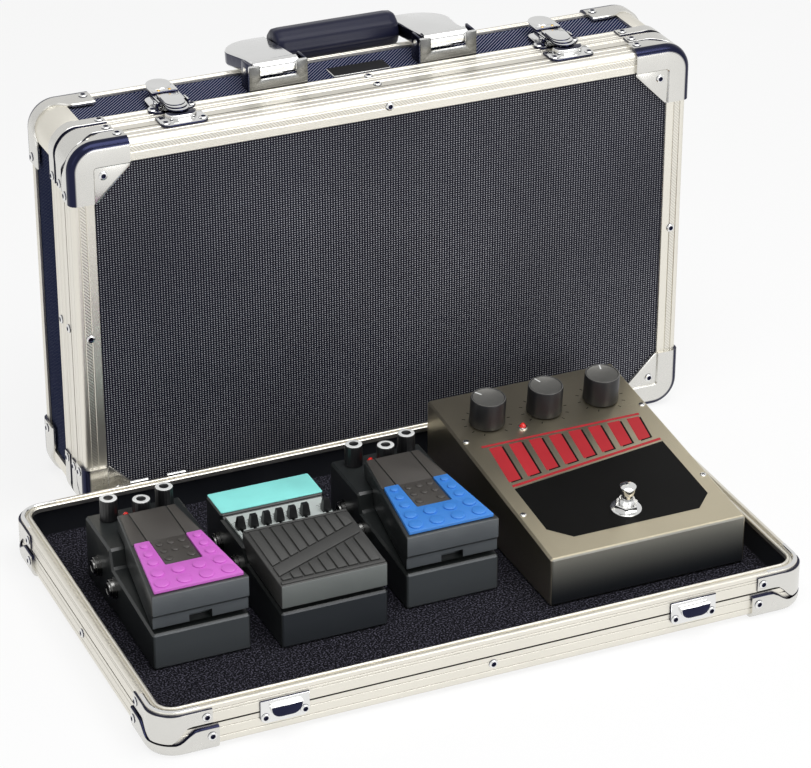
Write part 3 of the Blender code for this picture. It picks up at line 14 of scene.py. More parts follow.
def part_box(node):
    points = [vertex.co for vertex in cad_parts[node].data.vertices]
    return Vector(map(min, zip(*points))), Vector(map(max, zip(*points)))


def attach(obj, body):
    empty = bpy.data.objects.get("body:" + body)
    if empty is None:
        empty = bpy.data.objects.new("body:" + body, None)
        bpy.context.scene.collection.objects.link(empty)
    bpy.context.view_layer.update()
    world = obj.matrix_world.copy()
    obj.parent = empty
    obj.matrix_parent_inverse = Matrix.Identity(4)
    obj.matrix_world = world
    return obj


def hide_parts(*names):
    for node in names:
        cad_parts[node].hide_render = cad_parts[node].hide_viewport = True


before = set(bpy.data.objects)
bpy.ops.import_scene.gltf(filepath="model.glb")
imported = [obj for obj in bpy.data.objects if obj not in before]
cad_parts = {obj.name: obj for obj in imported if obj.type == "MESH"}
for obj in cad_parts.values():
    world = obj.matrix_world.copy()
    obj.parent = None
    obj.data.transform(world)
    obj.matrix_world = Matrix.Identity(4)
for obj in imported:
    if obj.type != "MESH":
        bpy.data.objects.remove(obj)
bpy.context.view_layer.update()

bl_info = {
    "name": "Pedalboard looks",
    "version": (1, 0, 0),
    "blender": (4, 5, 0),
    "location": "3D View > Sidebar > Pedalboard",
    "description": "Dresses the pedalboard, its pedals and its carrying case",
    "category": "Object",
}

MM = 0.001
QUARTER_TURN = math.pi / 2

# Sizes shared with the solids
CAP = 2.4 * MM
CORNER = 18 * MM
CAP_LEG = 42 * MM
FLANGE = 16 * MM
FIT_GAP = 0.3 * MM
TONGUE = 1.6 * MM
RIM_BAND = 12.8 * MM
BACK_BAND = 9 * MM
BRACKET_X = 65 * MM
HANDLE_REACH = 50 * MM
HANDLE_DROP = math.radians(8)

# Places taken from the solids
TRAY_LOW, TRAY_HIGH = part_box("tray_frame")
COVER_LOW, COVER_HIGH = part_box("cover_frame")
SHELL_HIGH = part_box("shell_back_frame")[1]
PLAN_WIDTH = TRAY_HIGH.x - TRAY_LOW.x - 2 * CAP
PLAN_LENGTH = TRAY_HIGH.y - TRAY_LOW.y - 2 * CAP
TRAY_DEPTH = TRAY_HIGH.z - TRAY_LOW.z - CAP
SPLIT_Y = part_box("shell_rim_frame")[0].y + TONGUE
SHELL_DEPTH = SHELL_HIGH.y - CAP - SPLIT_Y
CASE_X = (COVER_LOW.x + COVER_HIGH.x) / 2
CASE_Z = (COVER_LOW.z + COVER_HIGH.z) / 2
STANDING = Matrix.Rotation(-QUARTER_TURN, 4, "X")
TRAY_PLACE = Matrix.Translation(
    ((TRAY_LOW.x + TRAY_HIGH.x) / 2, (TRAY_LOW.y + TRAY_HIGH.y) / 2, TRAY_LOW.z + CAP)
)
COVER_PLACE = Matrix.Translation((CASE_X, COVER_LOW.y + CAP, CASE_Z)) @ STANDING
SHELL_PLACE = Matrix.Translation((CASE_X, SPLIT_Y, CASE_Z)) @ STANDING


def mm(*points):
    """Points that are given in millimetres."""
    return [tuple(value * MM for value in point) for point in points]


def colour_prop(name, description, default):
    return FloatVectorProperty(
        name=name, description=description, default=default, size=3, min=0.0, max=1.0, subtype="COLOR"
    )


def length_prop(name, description, default):
    return FloatProperty(name=name, description=description, default=default, min=0.0, unit="LENGTH")


class CaseLooks(bpy.types.PropertyGroup):
    """Finishes of the tray and the carrying case"""

    aluminium: colour_prop("Aluminium", "Drawn aluminium of the edges", (0.80, 0.77, 0.69))
    cap: colour_prop("Cap", "Satin faces of the pressed corner caps", (0.70, 0.69, 0.655))
    chrome: colour_prop("Chrome", "Plated latches and handle arms", (0.80, 0.80, 0.79))
    # Painted dark chrome: painted dark reflection and shade on rolled cap and bracket edges, upright plated
    # faces and rivets.
    painted_dark_chrome: colour_prop("Dark chrome", "Polished edges of plated pieces", (0.020, 0.022, 0.050))
    # Grey chrome: painted shade and dark reflection on the jacks and on the brackets' front plates.
    shaded_grey_chrome: colour_prop("Grey chrome", "Plated pieces in the shade", (0.17, 0.17, 0.165))
    brass: colour_prop("Brass", "Dots on the latch levers", (0.60, 0.38, 0.12))
    cover: colour_prop("Cover", "Ground of the woven-look board cover", (0.0030, 0.0034, 0.011))
    thread: colour_prop("Thread", "Raised threads of the flat boards", (0.41, 0.415, 0.45))
    # The side cover's navy ground is partly the board's own colour and partly a painted blue reflection in
    # the shade of the sides.
    side_cover: colour_prop("Side cover", "Ground of the ribbed side cover", (0.003, 0.009, 0.042))
    rib: colour_prop("Rib", "Raised ribs of the side boards", (0.42, 0.425, 0.52))
    fleece: colour_prop("Fleece", "Floor lining of the tray", (0.0014, 0.0014, 0.0034))
    pile_tips: colour_prop("Pile tips", "Tips of the floor lining's pile", (0.085, 0.082, 0.112))
    vinyl: colour_prop("Vinyl", "Smooth lining of the tray's walls", (0.010, 0.011, 0.014))
    grip: colour_prop("Grip", "Moulded grip of the handle", (0.011, 0.012, 0.030))
    label: colour_prop("Label", "Bare label plate", (0.0045, 0.0045, 0.0055))
    # Groove: dark colour of the hatch, the seam and the split, and painted shade in the grooves.
    groove: colour_prop("Groove", "Dark lines in the grooves of the edges", (0.02, 0.02, 0.018))
    thread_pitch: length_prop("Thread pitch", "Distance between threads of the flat boards", 2.0 * MM)
    rib_pitch: length_prop("Rib pitch", "Distance between ribs of the side boards", 3.0 * MM)
    rivet_radius: length_prop("Rivet radius", "Radius of a rivet's head", 3.2 * MM)


class PedalLooks(bpy.types.PropertyGroup):
    """Finishes of the four pedals"""

    paint: colour_prop("Paint", "Satin black of the housings", (0.017, 0.0195, 0.0195))
    # Front and low front: lighter colours on the housings' front walls, painted light from the front.
    front: colour_prop("Front", "Front walls of the compact housings", (0.070, 0.078, 0.084))
    lit_low_front: colour_prop("Low front", "Front wall of the equalizer", (0.036, 0.041, 0.047))
    # Painted light: treadle fronts drawn lighter than the satin paint.
    lit_treadle_front: colour_prop("Treadle front", "Front edges of the compact treadles", (0.105, 0.116, 0.126))
    plate: colour_prop("Plate", "Brown-grey plates on the compact treadles", (0.055, 0.050, 0.045))
    magenta: colour_prop("Magenta pad", "Rubber of the left compact pedal's pad", (0.62, 0.145, 0.60))
    blue: colour_prop("Blue pad", "Rubber of the right compact pedal's pad", (0.045, 0.225, 0.66))
    turquoise: colour_prop("Turquoise", "Bare plate on the equalizer", (0.31, 0.90, 0.85))
    panel: colour_prop("Slider panel", "Pale plate round the sliders", (0.55, 0.60, 0.58))
    steel: colour_prop("Steel", "Brushed steel of the wedge pedal", (0.53, 0.475, 0.35))
    # Painted reflection at the top of the wedge's front wall and painted shade at its foot.
    wall_reflection_top: colour_prop("Wall top", "Upper front wall of the wedge pedal", (0.29, 0.285, 0.25))
    wall_shade_foot: colour_prop("Wall foot", "Lower front wall of the wedge pedal", (0.024, 0.027, 0.031))
    stripe: colour_prop("Stripe", "Printed bars on the wedge pedal", (0.43, 0.026, 0.034))
    dark_print: colour_prop("Dark print", "Printed panel on the wedge pedal", (0.0045, 0.0044, 0.0042))
    knob_face: colour_prop("Knob face", "Brushed tops of the large knobs", (0.19, 0.187, 0.175))
    plastic: colour_prop("Plastic", "Moulded knobs and sliders", (0.008, 0.008, 0.009))
    ring: colour_prop("Ring", "Pale rings and ticks of the knobs", (0.72, 0.73, 0.72))
    rubber: colour_prop("Rubber", "Ribbed treadle of the equalizer", (0.052, 0.052, 0.050))
    # Painted light: the ribbed treadle's front edge drawn lighter than its rubber.
    lit_rubber_front: colour_prop("Rubber front", "Front edge of the ribbed treadle", (0.165, 0.180, 0.175))
    lamp: colour_prop("Lamp", "Red lamps", (0.55, 0.012, 0.010))
    glow: colour_prop("Glow", "Faint glow of the lamps", (0.8, 0.02, 0.01))


class StageLooks(bpy.types.PropertyGroup):
    """Camera, lamps and floor"""

    camera: FloatVectorProperty(
        name="Camera", description="Place of the camera", default=(-0.8152, -1.8513, 1.1825),
        size=3, subtype="TRANSLATION", unit="LENGTH",
    )
    turn: FloatProperty(
        name="Turn", description="Turn of the camera to the right",
        default=math.radians(23.74), subtype="ANGLE",
    )
    tilt: FloatProperty(
        name="Tilt", description="Tilt of the camera down", default=math.radians(27.82), subtype="ANGLE"
    )
    lens: FloatProperty(name="Lens", description="Focal length in millimetres", default=146.5, min=1.0)
    floor: colour_prop("Floor", "Pale floor", (0.90, 0.90, 0.90))
    key_power: FloatProperty(
        name="Key", description="Power of the large lamp above", default=22.0, min=0.0, unit="POWER"
    )
    fill_power: FloatProperty(
        name="Fill", description="Power of the strip lamp, and by shares of those in front and on the left",
        default=6.0, min=0.0, unit="POWER",
    )


# Shader node groups and finishes

def feed(tree, socket, value):
    """Links a socket to another one, or gives it a plain value."""
    if isinstance(value, bpy.types.NodeSocket):
        tree.links.new(value, socket)
    else:
        socket.default_value = value


def add_node(tree, kind, inputs=(), **settings):
    node = tree.nodes.new("ShaderNode" + kind)
    for name, value in settings.items():
        setattr(node, name, value)
    for name, value in dict(inputs).items():
        feed(tree, node.inputs[name], value)
    return node


def maths(tree, operation, first, second=0.0, third=0.0):
    values = {0: first, 1: second, 2: third}
    return add_node(tree, "Math", values, operation=operation).outputs[0]


def new_group(name, inputs, output, output_kind):
    """An empty node group with its sockets, and its two ends."""
    tree = bpy.data.node_groups.new(name, "ShaderNodeTree")
    for label, kind in inputs.items():
        tree.interface.new_socket(label, in_out="INPUT", socket_type="NodeSocket" + kind)
    tree.interface.new_socket(output, in_out="OUTPUT", socket_type="NodeSocket" + output_kind)
    start = tree.nodes.new("NodeGroupInput").outputs
    end = tree.nodes.new("NodeGroupOutput").inputs
    return tree, start, end


def clouds_on(tree, start, detail):
    values = {"Vector": start["Vector"], "Scale": start["Scale"], "Detail": detail}
    return add_node(tree, "TexNoise", values).outputs[0]


def step_between(tree, value, low, high, **settings):
    """0 below one value, 1 above another, and a ramp between them."""
    values = {"Value": value, "From Min": low, "From Max": high}
    return add_node(tree, "MapRange", values, **settings).outputs[0]


def tone_drift():
    """Group: a colour that drifts a little lighter and darker over the surface."""
    sockets = {"Vector": "Vector", "Colour": "Color", "Scale": "Float", "Amount": "Float"}
    tree, start, end = new_group("Tone drift", sockets, "Colour", "Color")
    clouds = clouds_on(tree, start, 4.0)
    drift = maths(tree, "SUBTRACT", clouds, 0.5)
    value = maths(tree, "MULTIPLY_ADD", drift, start["Amount"], 1.0)
    toned = add_node(tree, "HueSaturation", {"Value": value, "Color": start["Colour"]})
    feed(tree, end["Colour"], toned.outputs[0])
    return tree


def smudges():
    """Group: a roughness that varies in soft smudges."""
    sockets = {"Vector": "Vector", "Scale": "Float", "Roughness": "Float", "Spread": "Float"}
    tree, start, end = new_group("Smudges", sockets, "Roughness", "Float")
    clouds = clouds_on(tree, start, 3.0)
    drift = maths(tree, "SUBTRACT", clouds, 0.5)
    feed(tree, end["Roughness"], maths(tree, "MULTIPLY_ADD", drift, start["Spread"], start["Roughness"]))
    return tree


def fine_grain():
    """Group: the height of a fine even grain."""
    tree, start, end = new_group("Fine grain", {"Vector": "Vector", "Scale": "Float"}, "Height", "Float")
    feed(tree, end["Height"], clouds_on(tree, start, 2.0))
    return tree


def drawn_lines():
    """Group: the height of fine lines that run along a drawn or brushed surface."""
    tree, start, end = new_group("Drawn lines", {"Way": "Float", "Scale": "Float"}, "Height", "Float")
    way = maths(tree, "MULTIPLY", start["Way"], start["Scale"])
    lines = add_node(tree, "TexNoise", {"W": way, "Scale": 1.0, "Detail": 3.0}, noise_dimensions="1D")
    feed(tree, end["Height"], lines.outputs[0])
    return tree


def thread_wave(tree, way, pitch):
    turn = maths(tree, "DIVIDE", way, pitch)
    return maths(tree, "SINE", maths(tree, "MULTIPLY", turn, math.tau))


def woven_dots():
    """Group: threads that cross at right angles and show as rows of small dots in X and Z."""
    tree, start, end = new_group("Woven dots", {"Vector": "Vector", "Pitch": "Float"}, "Mask", "Float")
    axes = add_node(tree, "SeparateXYZ", {0: start["Vector"]}).outputs
    columns = thread_wave(tree, axes["X"], start["Pitch"])
    rows = thread_wave(tree, axes["Z"], maths(tree, "MULTIPLY", start["Pitch"], 0.86))
    crossing = maths(tree, "MINIMUM", columns, rows)
    feed(tree, end["Mask"], step_between(tree, crossing, 0.1, 0.55, interpolation_type="SMOOTHSTEP"))
    return tree


def slant_hatch():
    """Group: a mask of slanting lines, on walls and on flat faces alike."""
    tree, start, end = new_group("Slant hatch", {"Vector": "Vector", "Pitch": "Float"}, "Mask", "Float")
    axes = add_node(tree, "SeparateXYZ", {0: start["Vector"]}).outputs
    slant = maths(tree, "ADD", maths(tree, "ADD", axes["X"], axes["Y"]), axes["Z"])
    wave = thread_wave(tree, slant, start["Pitch"])
    feed(tree, end["Mask"], maths(tree, "MULTIPLY_ADD", wave, 0.5, 0.5))
    return tree


def twill_lines():
    """Group: slanting ribs of a twill, flatter on walls across X than on those across Z, and fainter there
    as painted shade on the side walls.
    """
    tree, start, end = new_group("Twill lines", {"Vector": "Vector", "Pitch": "Float"}, "Mask", "Float")
    axes = add_node(tree, "SeparateXYZ", {0: start["Vector"]}).outputs
    facing = add_node(tree, "SeparateXYZ", {0: add_node(tree, "TexCoord").outputs["Normal"]}).outputs
    wall = maths(tree, "ABSOLUTE", facing["X"])
    along = maths(tree, "ADD", axes["Z"], axes["X"])
    lean = maths(tree, "MULTIPLY_ADD", wall, 0.5, -1.0)
    slant = maths(tree, "MULTIPLY_ADD", axes["Y"], lean, along)
    ribs = thread_wave(tree, slant, start["Pitch"])
    across = maths(tree, "ADD", axes["Y"], along)
    weft = thread_wave(tree, across, maths(tree, "MULTIPLY", start["Pitch"], 0.55))
    broken = maths(tree, "MULTIPLY_ADD", weft, 0.35, ribs)
    mask = step_between(tree, broken, 0.35, 1.25, interpolation_type="SMOOTHSTEP")
    # Painted shade: the ribs are weaker on the side walls, so these render darker.
    strength = maths(tree, "MULTIPLY_ADD", wall, -0.58, 1.0)
    feed(tree, end["Mask"], maths(tree, "MULTIPLY", mask, strength))
    return tree


GROUPS = {
    "Tone drift": tone_drift,
    "Smudges": smudges,
    "Fine grain": fine_grain,
    "Drawn lines": drawn_lines,
    "Woven dots": woven_dots,
    "Slant hatch": slant_hatch,
    "Twill lines": twill_lines,
}


def effect(tree, name, **inputs):
    """Places a shared node group in a material and returns its output."""
    node = tree.nodes.new("ShaderNodeGroup")
    node.node_tree = bpy.data.node_groups.get(name) or GROUPS[name]()
    for label, value in inputs.items():
        feed(tree, node.inputs[label], value)
    return node.outputs[0]


def new_finish(name, colour, roughness, metallic=0.0, drift=(30.0, 0.25), spread=0.1, coat=0.0):
    """A Principled finish whose colour and roughness vary a little, with Object coordinates to build on."""
    finish = bpy.data.materials.new(name)
    finish.use_nodes = True
    tree = finish.node_tree
    shader = tree.nodes["Principled BSDF"]
    coords = add_node(tree, "TexCoord").outputs["Object"]
    scale, amount = drift
    toned = effect(tree, "Tone drift", Vector=coords, Colour=(*colour, 1.0), Scale=scale, Amount=amount)
    rough = effect(tree, "Smudges", Vector=coords, Scale=scale * 2, Roughness=roughness, Spread=spread)
    feed(tree, shader.inputs["Base Color"], toned)
    feed(tree, shader.inputs["Roughness"], rough)
    shader.inputs["Metallic"].default_value = metallic
    shader.inputs["Coat Weight"].default_value = coat
    return finish, tree, shader, coords


def raise_surface(tree, shader, height, strength, depth):
    bump = add_node(tree, "Bump", {"Height": height, "Strength": strength, "Distance": depth})
    feed(tree, shader.inputs["Normal"], bump.outputs[0])


# Colour sockets of a Mix node, which share their names with its other sockets
MIX_FIRST = 6
MIX_SECOND = 7
MIX_RESULT = 2


def mix_colours(tree, mask, first, second):
    values = {"Factor": mask, MIX_FIRST: first, MIX_SECOND: second}
    return add_node(tree, "Mix", values, data_type="RGBA").outputs[MIX_RESULT]


def case_looks():
    return bpy.context.scene.pedalboard_case


def pedal_looks():
    return bpy.context.scene.pedalboard_pedals


def raise_grain(tree, shader, coords, scale, strength, depth):
    raise_surface(
        tree, shader, effect(tree, "Fine grain", Vector=coords, Scale=scale), strength=strength, depth=depth
    )


def raise_lines(tree, shader, way, strength):
    lines = effect(tree, "Drawn lines", Way=way, Scale=9000.0)
    raise_surface(tree, shader, lines, strength=strength, depth=0.2 * MM)


def lay_over(tree, shader, mask, colour):
    """Lays another colour over a finish's own, where the mask says."""
    bare = shader.inputs["Base Color"].links[0].from_socket
    feed(tree, shader.inputs["Base Color"], mix_colours(tree, mask, bare, colour))


def painted_light_front_mask(tree, way, front):
    """1 on the front wall of a pedal, 0 behind it; it places the painted light and shade of the front walls.
    """
    return step_between(tree, way, front + 1.2 * MM, front + 0.6 * MM)


def marked(tree, name):
    """A mark that the points of a drawn edge carry."""
    return add_node(tree, "Attribute", attribute_name=name).outputs["Fac"]


def drawn_aluminium(name):
    """Satin aluminium whose lines follow the drawn edge."""
    looks = case_looks()
    finish, tree, shader, coords = new_finish(
        name, looks.aluminium, roughness=0.36, metallic=1.0, drift=(14.0, 0.10), spread=0.10
    )
    slants = effect(tree, "Slant hatch", Vector=coords, Pitch=2.4 * MM)
    hatch = maths(tree, "MULTIPLY", slants, marked(tree, "hatch"))
    lines = effect(tree, "Drawn lines", Way=marked(tree, "across"), Scale=3000.0)
    raise_surface(
        tree, shader, maths(tree, "MULTIPLY_ADD", hatch, -1.2, lines), strength=0.22, depth=0.3 * MM
    )
    # Dark lines: the hatch, the seam and split, and painted shade in the grooves.
    shade = maths(tree, "MAXIMUM", maths(tree, "MULTIPLY", hatch, 0.22), marked(tree, "lines"))
    lay_over(tree, shader, shade, (*looks.groove, 1.0))
    return finish


def pressed_cap(name):
    """Satin cap whose marked rolled edges carry a painted dark reflection."""
    looks = case_looks()
    finish, tree, shader, coords = new_finish(
        name, looks.cap, roughness=0.26, metallic=1.0, drift=(40.0, 0.12), spread=0.10
    )
    # Painted dark reflection on the marked rolled edges.
    reflection_mark = step_between(tree, marked(tree, "reflection_mark"), 0.25, 0.75)
    lay_over(tree, shader, reflection_mark, (*looks.painted_dark_chrome, 1.0))
    raise_grain(tree, shader, coords, scale=45.0, strength=0.05, depth=1.0 * MM)
    return finish


# Plated pieces: colour, roughness, drift of the tone and spread of the roughness
PLATINGS = {
    "bright_chrome": ("chrome", 0.12, (40.0, 0.10), 0.10),
    # Shaded chrome: painted dark reflection on upright plated faces, bracket cheeks and keeper lips, and
    # painted shade in rivet holes.
    "shaded_chrome": ("painted_dark_chrome", 0.18, (90.0, 0.6), 0.12),
    "shaded_grey_chrome": ("shaded_grey_chrome", 0.2, (30.0, 0.4), 0.12),
}


def plated(name):
    colour, roughness, drift, spread = PLATINGS[name]
    colour = getattr(case_looks(), colour)
    finish, tree, shader, coords = new_finish(
        name, colour, roughness=roughness, metallic=1.0, drift=drift, spread=spread
    )
    raise_grain(tree, shader, coords, scale=160.0, strength=0.10, depth=1.0 * MM)
    return finish


def brass_dots(name):
    finish, tree, shader, coords = new_finish(
        name, case_looks().brass, roughness=0.28, metallic=1.0, drift=(60.0, 0.3)
    )
    raise_grain(tree, shader, coords, scale=900.0, strength=0.1, depth=0.3 * MM)
    return finish


def woven_cover(name, group, pitch, ground, raised, gloss):
    """Board cover: dark ground with lighter raised threads."""
    finish, tree, shader, coords = new_finish(name, ground, roughness=0.55, metallic=0.0, drift=(9.0, 0.5))
    shader.inputs["Specular IOR Level"].default_value = gloss
    mask = effect(tree, group, Vector=coords, Pitch=pitch)
    thread = effect(tree, "Tone drift", Vector=coords, Colour=(*raised, 1.0), Scale=5.0, Amount=1.5)
    lay_over(tree, shader, mask, thread)
    raise_surface(tree, shader, mask, strength=0.5, depth=0.3 * MM)
    return finish


def front_cover(name):
    looks = case_looks()
    return woven_cover(name, "Woven dots", looks.thread_pitch, looks.cover, looks.thread, gloss=0.18)


def side_cover(name):
    looks = case_looks()
    return woven_cover(name, "Twill lines", looks.rib_pitch, looks.side_cover, looks.rib, gloss=0.0)


def fleece_floor(name):
    """Dark fleece whose pile has lighter tips."""
    looks = case_looks()
    finish, tree, shader, coords = new_finish(
        name, looks.fleece, roughness=0.95, metallic=0.0, drift=(420.0, 1.6), spread=0.1
    )
    shader.inputs["Specular IOR Level"].default_value = 0.12
    shader.inputs["Sheen Weight"].default_value = 0.03
    shader.inputs["Sheen Roughness"].default_value = 0.5
    pile = effect(tree, "Fine grain", Vector=coords, Scale=780.0)
    lay_over(tree, shader, step_between(tree, pile, 0.50, 0.66), (*looks.pile_tips, 1.0))
    raise_surface(tree, shader, pile, strength=0.7, depth=0.8 * MM)
    return finish


def wall_vinyl(name):
    finish, tree, shader, coords = new_finish(
        name, case_looks().vinyl, roughness=0.32, metallic=0.0, drift=(18.0, 0.5), spread=0.2
    )
    raise_grain(tree, shader, coords, scale=700.0, strength=0.15, depth=0.3 * MM)
    return finish


def satin_paint(name, colour, roughness=0.32, gloss=0.5):
    finish, tree, shader, coords = new_finish(
        name, colour, roughness=roughness, metallic=0.0, drift=(26.0, 0.5), spread=0.16
    )
    shader.inputs["Specular IOR Level"].default_value = gloss
    raise_grain(tree, shader, coords, scale=1800.0, strength=0.12, depth=0.2 * MM)
    return finish


def case_paint(name):
    """The grip's moulding and the bare label plate."""
    looks = case_looks()
    if name == "navy_moulding":
        return satin_paint(name, looks.grip, roughness=0.32, gloss=0.2)
    return satin_paint(name, looks.label, roughness=0.5, gloss=0.15)


# Paints and prints of the pedals: colour, roughness and gloss
PAINTS = {
    "satin_paint": ("paint", 0.32, 0.5),
    # Lit front paint: a lighter copy of the satin paint, painted light on the treadle fronts.
    "front_paint": ("lit_treadle_front", 0.32, 0.5),
    "treadle_plate": ("plate", 0.42, 0.5),
    "turquoise_plate": ("turquoise", 0.32, 0.5),
    "pale_panel": ("panel", 0.4, 0.5),
    "white_ring": ("ring", 0.3, 0.5),
    "red_print": ("stripe", 0.4, 0.2),
    "black_print": ("dark_print", 0.42, 0.06),
}


def pedal_paint(name):
    colour, roughness, gloss = PAINTS[name]
    return satin_paint(name, getattr(pedal_looks(), colour), roughness=roughness, gloss=gloss)


def housing_paint(name):
    """Satin paint of one housing; its front wall is drawn lighter as painted light from the front."""
    looks = pedal_looks()
    finish = satin_paint(name, looks.paint)
    tree = finish.node_tree
    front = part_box(name.replace("paint", "housing"))[0].y
    coords = add_node(tree, "TexCoord").outputs["Object"]
    way = add_node(tree, "SeparateXYZ", {0: coords}).outputs["Y"]
    # Painted light: the front wall is drawn in a lighter colour for the light that falls on it.
    wall = looks.lit_low_front if name == "eq_paint" else looks.front
    lay_over(tree, tree.nodes["Principled BSDF"], painted_light_front_mask(tree, way, front), (*wall, 1.0))
    return finish


# Rubbers of the treadles and pads, and their colours
RUBBERS = {
    "magenta_pad": "magenta",
    "blue_pad": "blue",
    "dark_rubber": "rubber",
    # Lit front rubber: a lighter copy of the dark rubber, painted light on the treadle's front edge.
    "lit_front_rubber": "lit_rubber_front",
}


def treadle_rubber(name):
    colour = getattr(pedal_looks(), RUBBERS[name])
    finish, tree, shader, coords = new_finish(
        name, colour, roughness=0.46, metallic=0.0, drift=(45.0, 0.16), spread=0.14
    )
    raise_grain(tree, shader, coords, scale=1200.0, strength=0.12, depth=0.2 * MM)
    return finish


def moulded_black(name):
    finish, tree, shader, coords = new_finish(
        name, pedal_looks().plastic, roughness=0.34, metallic=0.0, drift=(60.0, 0.5), spread=0.16
    )
    raise_grain(tree, shader, coords, scale=2200.0, strength=0.12, depth=0.2 * MM)
    return finish


def warm_steel(name):
    """Warm steel, brushed from front to rear; its front wall is dull, with a painted reflection at its top
    that fades into painted shade towards the floor.
    """
    looks = pedal_looks()
    finish, tree, shader, coords = new_finish(
        name, looks.steel, roughness=0.30, metallic=1.0, drift=(8.0, 0.35), spread=0.10
    )
    ways = add_node(tree, "SeparateXYZ", {0: coords}).outputs
    raise_lines(tree, shader, ways["X"], strength=0.4)
    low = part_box("fuzz_housing")[0]
    # Painted light: the front wall fades from a painted reflection at the top to painted shade at the foot.
    near = painted_light_front_mask(tree, ways["Y"], low.y)
    rise = step_between(tree, ways["Z"], low.z + 4 * MM, low.z + 36 * MM)
    reflection_fade = maths(tree, "POWER", rise, 1.6)
    wall = mix_colours(tree, reflection_fade, (*looks.wall_shade_foot, 1.0), (*looks.wall_reflection_top, 1.0))
    lay_over(tree, shader, near, wall)
    feed(tree, shader.inputs["Metallic"], maths(tree, "MULTIPLY_ADD", near, -0.8, 1.0))
    return finish


def knob_face(name):
    finish, tree, shader, coords = new_finish(
        name, pedal_looks().knob_face, roughness=0.34, metallic=0.5, drift=(50.0, 0.4), spread=0.1
    )
    raise_lines(tree, shader, add_node(tree, "SeparateXYZ", {0: coords}).outputs["X"], strength=0.3)
    return finish


def lamp_red(name):
    """Red lens with a faint glow."""
    looks = pedal_looks()
    finish, tree, shader, coords = new_finish(
        name, looks.lamp, roughness=0.12, metallic=0.0, drift=(200.0, 0.4), spread=0.05, coat=0.6
    )
    shader.inputs["Emission Color"].default_value = (*looks.glow, 1.0)
    shader.inputs["Emission Strength"].default_value = 0.25
    raise_grain(tree, shader, coords, scale=600.0, strength=0.05, depth=0.3 * MM)
    return finish


FINISHES = {
    "drawn_aluminium": drawn_aluminium,
    "pressed_cap": pressed_cap,
    "brass_dots": brass_dots,
    "front_cover": front_cover,
    "side_cover": side_cover,
    "fleece_floor": fleece_floor,
    "wall_vinyl": wall_vinyl,
    "navy_moulding": case_paint,
    "bare_label": case_paint,
    "chorus_paint": housing_paint,
    "drive_paint": housing_paint,
    "eq_paint": housing_paint,
    "moulded_black": moulded_black,
    "warm_steel": warm_steel,
    "knob_face": knob_face,
    "lamp_red": lamp_red,
    **dict.fromkeys(PLATINGS, plated),
    **dict.fromkeys(PAINTS, pedal_paint),
    **dict.fromkeys(RUBBERS, treadle_rubber),
}


def finish_named(name):
    return bpy.data.materials.get(name) or FINISHES[name](name)


# Shapes

MERGE_DISTANCE = 0.001 * MM


def points_of(geometry):
    return [item for item in geometry if isinstance(item, bmesh.types.BMVert)]


def edges_of(geometry):
    return [item for item in geometry if isinstance(item, bmesh.types.BMEdge)]


def join(target, shape, place=Matrix()):
    """Adds a finished shape to another one, at its place."""
    mesh = bpy.data.meshes.new("joined")
    shape.to_mesh(mesh)
    shape.free()
    mesh.transform(place)
    target.from_mesh(mesh)
    bpy.data.meshes.remove(mesh)


def paint(shape, index):
    for face in shape.faces:
        face.material_index = index
    return shape


def merged(shape):
    bmesh.ops.remove_doubles(shape, verts=shape.verts[:], dist=MERGE_DISTANCE)
    return shape


def outward(shape):
    bmesh.ops.recalc_face_normals(shape, faces=shape.faces[:])
    return shape


def round_off(shape, geometry, offset, steps, affect="EDGES"):
    bmesh.ops.bevel(
        shape, geom=geometry, offset=offset, segments=steps, profile=0.5, affect=affect, material=-1
    )


def new_piece(name, shape, place, finishes, body, stands_for=(), sharp=38.0):
    """A finished piece at its place, with its finishes, its body and the solids that it stands for."""
    shape.transform(place)
    mesh = bpy.data.meshes.new(name)
    shape.to_mesh(mesh)
    shape.free()
    for finish in finishes:
        mesh.materials.append(finish_named(finish))
    mesh.shade_smooth()
    mesh.set_sharp_from_angle(angle=math.radians(sharp))
    piece = bpy.data.objects.new(name, mesh)
    bpy.context.scene.collection.objects.link(piece)
    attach(piece, body)
    if stands_for:
        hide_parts(*stands_for)
    return piece


def dress(node, finish):
    """Gives a solid that stays in view its finish."""
    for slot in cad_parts[node].material_slots:
        slot.material = finish_named(finish)


def plate(outline, low, high, corner=0.0, steps=4, edge=0.0, edge_steps=2):
    """A flat plate over an outline in X and Y, with rounded corners and a rounded upper edge."""
    shape = bmesh.new()
    shape.faces.new([shape.verts.new((x, y, low)) for x, y in outline])
    if corner:
        round_off(shape, shape.verts[:], corner, steps, "VERTICES")
    drawn = bmesh.ops.extrude_face_region(shape, geom=shape.faces[:])["geom"]
    top = points_of(drawn)
    bmesh.ops.translate(shape, verts=top, vec=(0.0, 0.0, high - low))
    outward(shape)
    if edge:
        rim = [item for item in edges_of(drawn) if item.is_valid]
        round_off(shape, rim, edge, edge_steps)
    return shape


def rectangle(half_x, low_y, high_y):
    return [(-half_x, low_y), (half_x, low_y), (half_x, high_y), (-half_x, high_y)]


def block(low, high, edge=0.0, edge_steps=2):
    """A box between two corners with all its edges rounded."""
    shape = bmesh.new()
    bmesh.ops.create_cube(shape, size=1.0)
    low, high = Vector(low), Vector(high)
    size = high - low
    bmesh.ops.scale(shape, verts=shape.verts[:], vec=size)
    bmesh.ops.translate(shape, verts=shape.verts[:], vec=(low + high) / 2)
    if edge:
        round_off(shape, shape.edges[:], edge, edge_steps)
    return shape


